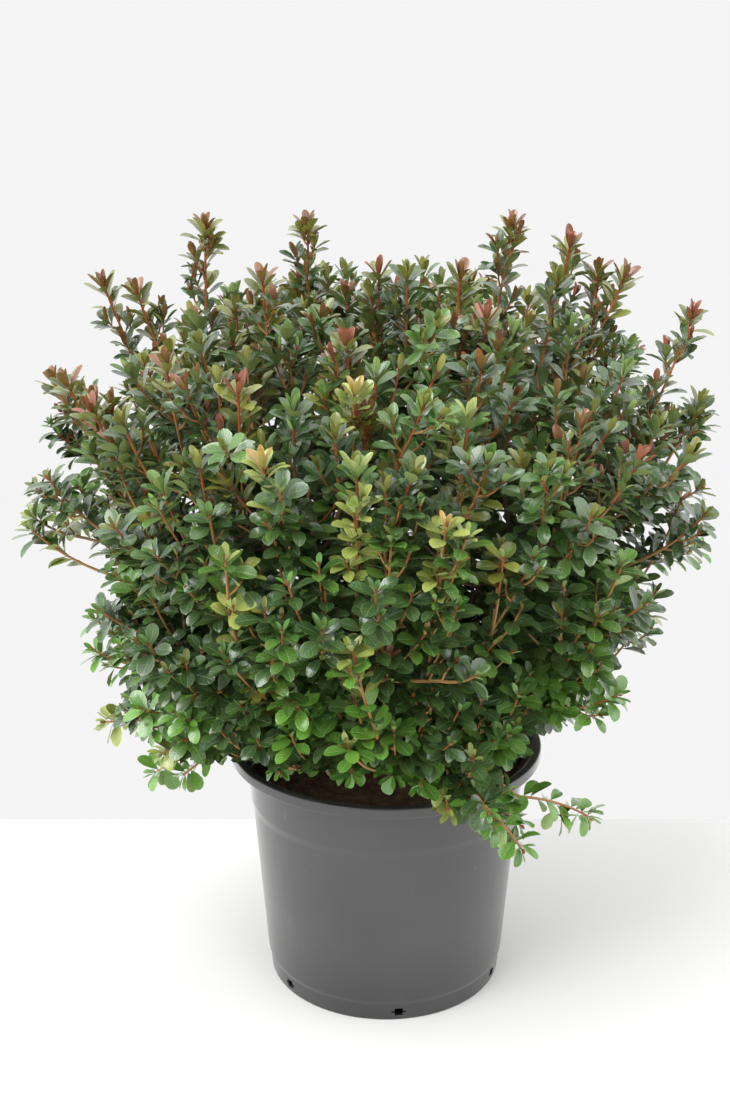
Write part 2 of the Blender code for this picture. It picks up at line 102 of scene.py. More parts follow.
# %% Wrap sockets, so that expressions add nodes
class Wire:
    """An output socket that takes part in expressions."""

    def __init__(self, graph, socket):
        self.graph, self.socket = graph, socket

    def out(self, name):
        return Wire(self.graph, self.socket.node.outputs[name])

    def split(self):
        """The three parts of a vector."""
        x = self.graph.node("ShaderNodeSeparateXYZ", {}, {0: self})
        return x, x.out("Y"), x.out("Z")

    def math(self, operation, *values, clamp=False):
        settings = {"operation": operation, "use_clamp": clamp}
        return self.graph.node("ShaderNodeMath", settings, dict(enumerate(values)))

    def __add__(self, other):
        return self.math("ADD", self, other)

    def __sub__(self, other):
        return self.math("SUBTRACT", self, other)

    def __rsub__(self, other):
        return self.math("SUBTRACT", other, self)

    def __mul__(self, other):
        return self.math("MULTIPLY", self, other)

    def __truediv__(self, other):
        return self.math("DIVIDE", self, other)

    def __abs__(self):
        return self.math("ABSOLUTE", self)

    __radd__, __rmul__ = __add__, __mul__

    def fraction(self):
        return self.math("FRACT", self)

    def floor(self):
        return self.math("FLOOR", self)

    def above(self, level):
        return self.math("GREATER_THAN", self, level)

    def ramp(self, start, end):
        """0 before start, 1 after end, and a smooth rise between; end may be the lower one."""
        settings = {"interpolation_type": "SMOOTHSTEP"}
        values = {"Value": self, "From Min": start, "From Max": end}
        if start > end:
            values.update({"From Min": end, "From Max": start, "To Min": 1.0, "To Max": 0.0})
        return self.graph.node("ShaderNodeMapRange", settings, values)


class Graph:
    """A node tree, to which nodes are added by type, settings and inputs."""

    def __init__(self, tree):
        self.tree = tree

    def node(self, kind, settings=None, inputs=None, output=0):
        made = self.tree.nodes.new(kind)
        for name, value in (settings or {}).items():
            setattr(made, name, value)
        for key, value in (inputs or {}).items():
            if isinstance(value, Wire):
                self.tree.links.new(value.socket, made.inputs[key])
            else:
                made.inputs[key].default_value = value
        return Wire(self, made.outputs[output])

    def ramp_of(self, factor, stops):
        """A colour by rows of (place, colour); the first two rows take the ramp's own stops."""
        made = self.node("ShaderNodeValToRGB", {}, {"Fac": factor})
        elements = made.socket.node.color_ramp.elements
        for i, (place, colour) in enumerate(stops):
            stop = elements[i] if i < 2 else elements.new(place)
            stop.position, stop.color = place, (*colour, 1.0)
        return made

    def scaled(self, vector, scale, turn=(0.0, 0.0, 0.0)):
        values = {"Vector": vector, "Rotation": turn, "Scale": scale}
        return self.node("ShaderNodeMapping", {}, values)

    def mix(self, factor, first, second):
        """Colours between first and second; either may be three numbers."""
        values = {0: factor}
        for socket, colour in ((6, first), (7, second)):
            values[socket] = colour if isinstance(colour, Wire) else (*colour, 1.0)
        return self.node("ShaderNodeMix", {"data_type": "RGBA"}, values, output=2)


class Finish(Graph):
    """A material with one Principled shader."""

    def __init__(self, name, **plain):
        self.material = bpy.data.materials.new(name)
        self.material.use_nodes = True
        super().__init__(self.material.node_tree)
        self.shader = self.tree.nodes["Principled BSDF"]
        self.set(**plain)

    def set(self, **values):
        for name, value in values.items():
            socket = self.shader.inputs[name.replace("_", " ").title().replace("Ior", "IOR")]
            if isinstance(value, Wire):
                self.tree.links.new(value.socket, socket)
            elif isinstance(value, tuple):
                socket.default_value = (*value, 1.0)
            else:
                socket.default_value = value

    def place(self):
        return self.node("ShaderNodeTexCoord").out("Object")

    def noise(self, vector, scale, detail=3.0, roughness=0.5):
        values = {"Vector": vector, "Scale": scale, "Detail": detail, "Roughness": roughness}
        return self.node("ShaderNodeTexNoise", {}, values)

    def bump(self, height, depth, strength=1.0):
        """Tilts the surface as if it rose by depth metres where height is 1."""
        values = {"Height": height, "Distance": depth, "Strength": strength}
        self.set(normal=self.node("ShaderNodeBump", {}, values))

    def paint(self, obj):
        obj.data.materials.clear()
        obj.data.materials.append(self.material)


# %% [markdown]
# ## The crown's rule
#
# This is the rule that shaped the solids, written again: how far the outermost leaf tips reach in
# each direction, where the boughs stand, and how a twig bends up from its mass's stem. Reading
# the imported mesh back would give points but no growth, so the numbers are repeated instead.

# %% Outline, tiers of boughs and curves
HEART = Vector((0.0, 0.0, 0.300))
LOW_REACH, HIGH_REACH = 0.290, 0.520
REACH_RISES_FROM, REACH_RISES_OVER = 6.0, 48.0
REACH_LEAN = 0.07
TIERS = (
    ("low", 7, -57.0, 5.0, 14.0),
    ("middle", 6, -92.0, 31.0, 41.0),
    ("upper", 4, -122.0, 57.0, 64.0),
    ("top", 1, 0.0, 89.0, 89.0),
)
HEAD_CENTRE = Vector((0.003, -0.002, 0.285))
HEAD_RADIUS = 0.0222
COARSE_LEAF = 0.064  # the length of a leaf of the solids, which stands for several
BOUGH_SHARE, BOUGH_BEND = 0.42, 0.45
TWIG_ANGLE, TWIG_UPTURN, TWIG_DROOP = 42.0, 0.55, 0.90
DROOP_BELOW, DROOP_OVER = 0.350, 0.080
LOWEST_ALL_ROUND, LOWEST_IN_FRONT = -5.0, 9.0
FRONT_GAP_AZIMUTH, FRONT_GAP_WIDTH = -105.0, 55.0
LOWEST_ON_RIGHT, RIGHT_GAP_AZIMUTH, RIGHT_GAP_WIDTH = 10.0, -15.0, 80.0
UP = Vector((0.0, 0.0, 1.0))
GOLDEN_ANGLE = 137.50776


def unit(azimuth, elevation):
    a, e = math.radians(azimuth), math.radians(elevation)
    return Vector((math.cos(a) * math.cos(e), math.sin(a) * math.cos(e), math.sin(e)))


def smooth(t):
    t = min(1.0, max(0.0, t))
    return t * t * (3.0 - 2.0 * t)


def elevation_of(way):
    return math.degrees(math.asin(max(-1.0, min(1.0, way.z / way.length))))


def azimuth_of(way):
    return math.degrees(math.atan2(way.y, way.x))


def reach(way):
    """How far the outermost leaf tips are from the heart in this direction."""
    rise = smooth((elevation_of(way) - REACH_RISES_FROM) / REACH_RISES_OVER)
    level = LOW_REACH + (HIGH_REACH - LOW_REACH) * rise
    return level * (1.0 - REACH_LEAN * way.x / way.length * (1.0 - rise))


def lowest(azimuth):
    """The lowest elevation of a shoot: higher in front, where the compost shows, and on the right."""
    from_front = abs((azimuth - FRONT_GAP_AZIMUTH + 180.0) % 360.0 - 180.0)
    front = smooth(1.0 - from_front / FRONT_GAP_WIDTH)
    right = smooth(1.0 - abs(azimuth - RIGHT_GAP_AZIMUTH) / RIGHT_GAP_WIDTH)
    in_front = front * (LOWEST_IN_FRONT - LOWEST_ALL_ROUND)
    on_right = right * (LOWEST_ON_RIGHT - LOWEST_ALL_ROUND)
    return LOWEST_ALL_ROUND + max(in_front, on_right)


def spread(count):
    """Directions spread evenly over the crown by the golden angle, from the zenith down."""
    floor = math.sin(math.radians(LOWEST_ALL_ROUND))
    for i in range(count):
        height = 1.0 - (i + 0.5) / count * (1.0 - floor)
        way = unit(i * GOLDEN_ANGLE, math.degrees(math.asin(height)))
        if elevation_of(way) >= lowest(azimuth_of(way)):
            yield way


def bend(start, middle, end, steps):
    """Points on the curve that leaves start towards middle and arrives at end."""
    ts = [i / steps for i in range(steps + 1)]
    return [start * (1 - t) ** 2 + middle * 2 * t * (1 - t) + end * t**2 for t in ts]


def onward_bend(start, along, end, steps):
    return bend(start, start + along * (end - start).length * BOUGH_BEND, end, steps)


boughs = []
for tier, count, first, elevation, start in TIERS:
    for i in range(count):
        azimuth = first + i * 360.0 / count
        way, rise = unit(azimuth, elevation), unit(azimuth, start)
        foot, span = HEAD_CENTRE + rise * HEAD_RADIUS, reach(way)
        end = HEART + way * span * BOUGH_SHARE
        path = onward_bend(foot, rise, end, 12)
        onward = (path[-1] - path[-2]).normalized()
        stem = onward_bend(end, onward, HEART + way * (span - COARSE_LEAF), 12)
        name = tier if count == 1 else f"{tier}_{i + 1}"
        boughs.append({"name": name, "way": way, "path": path, "stem": stem})
print("boughs:", len(boughs))

# %% [markdown]
# ## Where growth may go
#
# Nothing may pass through the pot or lie in the compost. Low shoots lean out over the rim and
# hang outside it, so the test is on height and distance from the pot's axis. In front, growth
# also keeps above a plane that rises outwards, so that the compost and the rim stay open to view.

# %% Keep clear of the pot
POT_HEIGHT, RIM_RADIUS = 0.280, 0.1758
COMPOST_TOP = 0.259
INSIDE_RADIUS = 0.158  # nearer the axis than this, a point is over the compost and not the rim
RIM_GAP, COMPOST_GAP, TABLE_GAP = 0.002, 0.006, 0.004
FRONT_OPEN_HEIGHT, FRONT_OPEN_SLOPE = 0.245, 0.47
FRONT_OPEN_FROM, FRONT_OPEN_TO = -166.0, -76.0
RIM_OPEN_HEIGHT, RIM_OPEN_FROM, RIM_OPEN_TO = 0.302, -61.0, 0.0


def clear(point, margin=0.0):
    """Whether the point is off the pot, the compost and the table."""
    away = math.hypot(point.x, point.y)
    if away > RIM_RADIUS + RIM_GAP + margin:
        return point.z > TABLE_GAP + margin
    lowest_here = COMPOST_TOP + COMPOST_GAP if away < INSIDE_RADIUS else POT_HEIGHT + RIM_GAP
    return point.z > lowest_here + margin


def in_front_opening(point, margin=0.0):
    """In front, only the noted low sprays stand over the compost."""
    if not FRONT_OPEN_FROM < azimuth_of(point) < FRONT_OPEN_TO:
        return False
    return point.z - margin < FRONT_OPEN_HEIGHT - FRONT_OPEN_SLOPE * point.y


def in_rim_opening(point):
    """Right of the front only a few noted sprays cross the rim."""
    if not RIM_OPEN_FROM < azimuth_of(point) < RIM_OPEN_TO:
        return False
    return point.z < RIM_OPEN_HEIGHT - FRONT_OPEN_SLOPE * point.y


def owner(point):
    """The bough whose space holds the point."""
    way = point - HEART
    return max(boughs, key=lambda bough: bough["way"].dot(way))


print("kept clear of: rim", RIM_RADIUS, "m from the axis, compost", COMPOST_TOP, "m high")


# %% [markdown]
# ## The outline that the shoots fill
#
# The rule's outline is a plain dome. A real crown is pulled up wherever a strong leader grows, and
# its neighbours follow part of the way, so the outline swells round each leader. Its top is cut
# level, and it draws in a little at the waist, between the spreading arms and the lowest sprigs.

# %% Leaders, swell and waist
# Long shoots round which the crown swells, by the place of their furthest leaf tip
LEADERS = {
    "tall_left": (-0.181, -0.050, 0.871),
    "tall_middle": (-0.082, 0.040, 0.862),
    "tall_right": (0.125, -0.030, 0.869),
    "right_shoulder": (0.257, 0.030, 0.804),
    "right_arm": (0.334, -0.020, 0.665),
    "pair_left_back": (-0.268, 0.060, 0.788),
    "left_shoulder": (-0.364, 0.020, 0.698),
    "left_arm": (-0.404, 0.050, 0.569),
    "front_erect": (-0.060, -0.310, 0.690),
    "back_left": (-0.150, 0.330, 0.760),
    "back_right": (0.190, 0.300, 0.740),
    "back_low": (0.060, 0.365, 0.430),
}
SWELL_ANGLE, SWELL_SHARE = 11.0, 0.9
CROWN_TOP = 0.790
WAIST_ELEVATION, WAIST_WIDTH, WAIST_DEPTH, WAIST_LEAN = 24.0, 10.0, 0.13, 0.06
RIGHT_SIDE_SHARE = 0.95
BELL_END = 3.0  # a swell or a dip is nothing beyond three of its widths
# Where the outline dips between them: the place it falls back to, and over how many degrees
DIPS = {
    "left_waist_under": ((-0.303, 0, 0.42), 8.0),
    "beside_tall_right_back": ((0.158, 0.12, 0.722), 6.0),
    "behind_the_pair": ((-0.249, 0.14, 0.719), 8.0),
    "low_left_behind": ((-0.27, 0.12, 0.306), 10.0),
    "left_waist_back": ((-0.313, 0.12, 0.416), 10.0),
    "left_waist_front": ((-0.27, -0.12, 0.496), 10.0),
    "right_waist_back": ((0.267, 0.13, 0.443), 7.0),
    "right_waist_front": ((0.221, -0.13, 0.525), 7.0),
    "right_of_tall_left": ((-0.137, 0, 0.763), 5.0),
    "left_of_tall": ((-0.234, 0.02, 0.739), 8.0),
    "under_the_pair": ((-0.283, 0, 0.707), 9.0),
    "above_left_arm": ((-0.358, 0, 0.619), 6.0),
    "left_waist": ((-0.284, 0, 0.459), 12.0),
    "low_left": ((-0.247, 0, 0.355), 12.0),
    "under_low_left": ((-0.158, 0, 0.307), 11.0),
    "under_right_shoulder": ((0.259, 0, 0.71), 9.0),
    "right_waist_high": ((0.252, 0, 0.512), 7.0),
    "right_waist_low": ((0.235, 0, 0.464), 10.0),
    "low_right": ((0.247, 0, 0.309), 9.0),
    "beside_the_rim": ((0.171, -0.08, 0.316), 12.0),
    "beside_tall_right": ((0.142, 0, 0.71), 7.0),
    "between_the_tops": ((-0.042, 0.0, 0.783), 5.0),
}
leader_runs = [Vector(place) - HEART for place in LEADERS.values()]
dip_runs = [(Vector(place) - HEART, width) for place, width in DIPS.values()]


def outline(way):
    """How far from the heart the shoots end: the rule's reach with its swells and its waist."""
    swell = 0.0
    for run in leader_runs:
        apart = math.degrees(run.angle(way)) / SWELL_ANGLE
        if apart < BELL_END:
            swell = max(swell, (run.length / reach(run) - 1.0) * math.exp(-apart * apart))
    height = (elevation_of(way) - WAIST_ELEVATION) / WAIST_WIDTH
    waist = (WAIST_DEPTH + WAIST_LEAN * way.x / way.length) * math.exp(-height * height)
    right = 1.0 - (1.0 - RIGHT_SIDE_SHARE) * max(0.0, way.x / way.length)
    far = reach(way) * (1.0 + SWELL_SHARE * swell) * (1.0 - waist) * right
    for run, width in dip_runs:
        apart = math.degrees(run.angle(way)) / width
        if apart < BELL_END:
            far -= max(0.0, far - run.length) * math.exp(-apart * apart)
    return far


print("leaders:", len(leader_runs), "dips:", len(dip_runs))

# %% [markdown]
# ## Branches, shoots and leaves
#
# An azalea flushes in steps: each year's shoot ends in a rosette of leaves round a bud, and next
# year's shoots start just below it. Placing leaves on a shell would leave a hollow hedge, so the
# script grows the wood first: branches leave each mass's stem as in the solids, long upright
# shoots leave the branches, short ones fill in below them, and spurs leave the long ones. Leaves
# then follow the golden angle down each shoot, crowded into a rosette at its tip. The draws come
# from one seeded generator, in a fixed order.

# %% Grow the branches
chance = random.Random(11)
BRANCHES = 120
BRANCH_SHARE, LEAFY_DEPTH = (0.88, 0.96), 0.070  # branches end this far inside the outline
BRANCH_ROOT, BRANCH_TIP, STEM_ROOT = 0.0025, 0.0016, 0.0028
OLD_AGE, BRANCH_TIP_AGE, STEM_TIP_AGE = 1.0, 0.78, 0.8
SHOOT_BEND = 0.55
wood = []  # each: points, first and last radius, first and last age (1 is old bark, 0 a fresh tip)


def twig_path(bough, tip, steps):
    """From the mass's stem to the tip, by the rule of the solids."""
    stem = bough["stem"]
    foot, end = stem[0], stem[-1]
    axis = (end - foot).normalized()
    ahead = (tip - foot).dot(axis)
    aside = (tip - foot - axis * ahead).length
    share = (ahead - aside / math.tan(math.radians(TWIG_ANGLE))) / (end - foot).length
    share = max(0.05, min(0.80, share)) * (len(stem) - 1)
    lower = min(int(share), len(stem) - 2)
    root = stem[lower].lerp(stem[lower + 1], share - lower)
    return upturned(root, tip, 1.0, steps)


def upturned(root, tip, strength, steps):
    """A shoot that leaves its root sideways and turns upright, or hangs if it is low."""
    run = tip - root
    low = smooth((DROOP_BELOW - tip.z) / DROOP_OVER)
    turn = (TWIG_UPTURN * (1.0 - low) - TWIG_DROOP * low) * strength
    onward = (run.normalized() + UP * turn).normalized()
    return bend(root, tip - onward * run.length * SHOOT_BEND, tip, steps)


branches = []
for way in spread(BRANCHES):
    span = reach(way) * chance.uniform(*BRANCH_SHARE) - LEAFY_DEPTH
    tip = HEART + way * span
    bough = owner(tip)
    path = twig_path(bough, tip, 9)
    if all(clear(p, BRANCH_ROOT + 0.010) for p in path):
        branches.append({"bough": bough, "path": path})
        wood.append((path, BRANCH_ROOT, BRANCH_TIP, OLD_AGE, BRANCH_TIP_AGE))
for bough in boughs:
    kept = [p for p in bough["stem"] if not in_front_opening(p)]
    kept = kept if len(kept) > 3 else bough["stem"]
    branches.append({"bough": bough, "path": kept})
    wood.append((kept, STEM_ROOT, BRANCH_TIP, OLD_AGE, STEM_TIP_AGE))
print("branches:", len(branches), "of which stems of masses:", len(boughs))

# %% [markdown]
# A shoot's root is picked on the branch that could have carried it: far enough back for its
# length, and below the tip on the line in which the shoot runs. A leaf is left out when it would
# touch the pot, or hide the compost from in front.

# %% Give shoots their roots, spurs and leaves
SHOOT_ROOT, SHOOT_TIP = 0.0014, 0.0010
YOUNG_STEP, ROSETTE_STEP = 0.0006, 0.0016
SPUR_RADII, SPUR_AGE = (SHOOT_TIP * 1.2, SHOOT_TIP * 0.9), 0.40
RED_AGE, TAN_AGE = 0.0, 0.13  # how old the bark of a tip looks: red in the sun, tan lower down
leaves = {}  # by finish: lists of (bough name, root, ahead, up, length, shape)
WIDE_SHAPES, SLIM_SHAPES, YOUNG_SHAPES = (0, 1, 2), (3, 4, 5), (6, 7, 8)
PLAIN_WIDE_SHAPES, PLAIN_SLIM_SHAPES, SHADE_SHAPES = (9, 10), (11, 12), (13, 14)
BUD_SHAPES, BUD_LENGTH = (15,), 0.0078
LEAF_TURN, TURN_JITTER, ANGLE_JITTER = 137.5, 12.0, 8.0
BARE_TURN = 0.45  # leaves that face within about sixty degrees of the bare side stand opposite
SLIM_ABOVE = 0.64  # higher up, leaves are slimmer and rosettes more closed
SUNNY_ABOVE, SHADY_BELOW = 0.64, 0.44  # where young leaves flush bronze, and where fresh green

branch_points = {bough["name"]: [] for bough in boughs}
for branch in branches:
    path = branch["path"]
    for a, b in zip(path[1:], path[2:]):
        branch_points[branch["bough"]["name"]] += [a, a.lerp(b, 0.5)]
branch_points = {name: np.array([tuple(p) for p in ps]) for name, ps in branch_points.items()}


def shoot_root(tip, run_way, length):
    """The point on the branches from which a shoot of about this length reaches the tip."""
    points = branch_points[owner(tip)["name"]]
    runs = np.array(tip) - points
    lengths = np.linalg.norm(runs, axis=1)
    ahead = runs @ np.array(run_way) / np.maximum(lengths, 1e-6)
    return Vector(points[np.argmin(abs(lengths - length) + lengths * (1.0 - ahead) * 1.6)])


def add_leaf(finish, bough, root, ahead, up, length, shapes, hanging=False):
    side = ahead.cross(up).normalized()
    middle, end = root + ahead * length * 0.5, root + ahead * length
    corners = (middle, end, middle + side * length * 0.25, middle - side * length * 0.25)
    is_open = in_front_opening(end, chance.uniform(-0.014, 0.004)) and not hanging
    if all(clear(point) for point in corners) and not is_open:
        row = (bough, root, ahead, up, length, chance.choice(shapes))
        leaves.setdefault(finish, []).append(row)


def along_from_tip(path, down):
    """The place on a path this far below its tip, and the way the path runs there."""
    for upper, lower in zip(path[::-1], path[-2::-1]):
        length = (upper - lower).length
        if down <= length:
            return upper.lerp(lower, down / length), (upper - lower).normalized()
        down -= length
    return None, None


def outward_of(along, turn):
    """The way square to a shoot at this turn round it."""
    across = along.orthogonal().normalized()
    return across * math.cos(turn) + along.cross(across) * math.sin(turn)


def dress(path, plan, bare_side=None, hanging=False):
    """Leaves down a shoot from its tip: rows of (step down, angle, length, finish, shapes).

    The leaves of a hanging shoot may stand in front of the compost.
    """
    bough = owner(path[-1])["name"]
    turn, down = chance.uniform(0.0, math.tau), 0.0
    for step, angle, length, finish, shapes in plan:
        down += step
        turn += math.radians(LEAF_TURN + chance.uniform(-TURN_JITTER, TURN_JITTER))
        root, along = along_from_tip(path, down)
        if root is None:
            return
        outward = outward_of(along, turn)
        if bare_side and step > ROSETTE_STEP and outward.dot(bare_side) > BARE_TURN:
            outward.negate()
        open_by = math.radians(angle + chance.uniform(-ANGLE_JITTER, ANGLE_JITTER))
        ahead = along * math.cos(open_by) + outward * math.sin(open_by)
        ahead = (ahead + UP * 0.15).normalized()
        up = along * math.sin(open_by) - outward * math.cos(open_by)
        level = 1.0 - max(0.0, along.z)  # on a level or hanging shoot the blades turn to the sky
        up = up * (1.0 - 0.6 * level) + UP * level
        up += ahead.cross(up) * chance.uniform(-0.25, 0.25)
        up = (up - ahead * up.dot(ahead)).normalized()
        length *= chance.uniform(0.88, 1.1)
        add_leaf(finish, bough, root, ahead, up, length, shapes, hanging)


def bud(path):
    along = (path[-1] - path[-2]).normalized()
    bough, up = owner(path[-1])["name"], along.orthogonal()
    add_leaf("bud", bough, path[-1], along, up, BUD_LENGTH, BUD_SHAPES)


def is_high(point):
    return point.z > SLIM_ABOVE + chance.uniform(-0.05, 0.05)


def rosette(high, young, full, young_count=4, full_count=7, size=0.0245, plain=False):
    """A flush's end: a few upright young leaves round the bud, then a ring of full ones."""
    shapes = PLAIN_SLIM_SHAPES if high else PLAIN_WIDE_SHAPES
    if not plain:
        shapes = SLIM_SHAPES if high else WIDE_SHAPES
    young_size, young_opening, opening = (0.76, 10.0, 36.0) if high else (0.52, 24.0, 58.0)
    rows = []
    for k in range(young_count):
        length = size * (young_size + 0.04 * k)
        rows.append((YOUNG_STEP, young_opening + 8.0 * k, length, young, YOUNG_SHAPES))
    for k in range(full_count):
        rows.append((ROSETTE_STEP, opening + 5.0 * k, size * (0.90 + 0.02 * k), full, shapes))
    return rows


def down_shoot(finish, count, step, size, angle, shapes):
    """Leaves further down, at uneven steps."""
    return [(step * chance.uniform(0.75, 1.25), angle, size, finish, shapes) for _ in range(count)]


def pick(choices):
    """One of the names, by weight."""
    return chance.choices(list(choices), list(choices.values()))[0]


def finishes_at(point):
    """The finish of a shoot's full leaves and of its young ones, by where it stands."""
    front = smooth((-point.y - 0.02) / 0.15)
    left = smooth((-point.x - 0.13) / 0.10)
    if point.z > SUNNY_ABOVE:
        full = {"deep": 60, "mid": 14, "olive": 26}
        young = {"olive": 44, "bronze": 36, "salmon": 3, "amber": 1, "mid": 16}
    elif point.z > SHADY_BELOW:
        full = {"deep": 64 - 14 * left, "mid": 28 + 14 * left, "olive": 8}
        young = {"olive": 34, "mid": 30, "bronze": 7, "fresh": 27, "amber": 2}
    else:
        full = {"deep": 56 - 8 * front - 28 * left, "mid": 28 + 6 * left}
        full["fresh"] = 16 + 8 * front + 22 * left
        young = {"fresh": 66, "mid": 16 - 10 * left, "lime": 18 + 10 * left}
    return pick(full), pick(young)


def spur(path, down, length, full, young, leaf_size=0.0255):
    """A side shoot with a rosette of its own, this far below the tip."""
    root, along = along_from_tip(path, down)
    if root is None:
        return
    outward = outward_of(along, chance.uniform(0.0, math.tau))
    way = (along * 0.8 + outward * 0.7 + UP * 0.3).normalized()
    side = bend(root, root + (outward + along * 0.5) * length * 0.4, root + way * length, 3)
    if all(clear(p, SHOOT_ROOT) for p in side) and not in_front_opening(side[-1], 0.010):
        high = is_high(side[-1])
        wood.append((side, *SPUR_RADII, SPUR_AGE, RED_AGE if high else TAN_AGE))
        rows = rosette(high, young, full, 2, 5, leaf_size, plain=True)
        shapes = PLAIN_SLIM_SHAPES if high else PLAIN_WIDE_SHAPES
        dress(side, rows + down_shoot(full, 3, 0.008, leaf_size, 58.0, shapes))
        bud(side)


print("places where a shoot may root:", sum(len(points) for points in branch_points.values()))

# %% [markdown]
# Some shoots stand where anyone facing the plant would notice them: a coppery tip, a pale flush
# over the rim, a spray that hangs down the pot. They are listed by where each ends, where it
# leaves the crown, and what its young leaves look like.

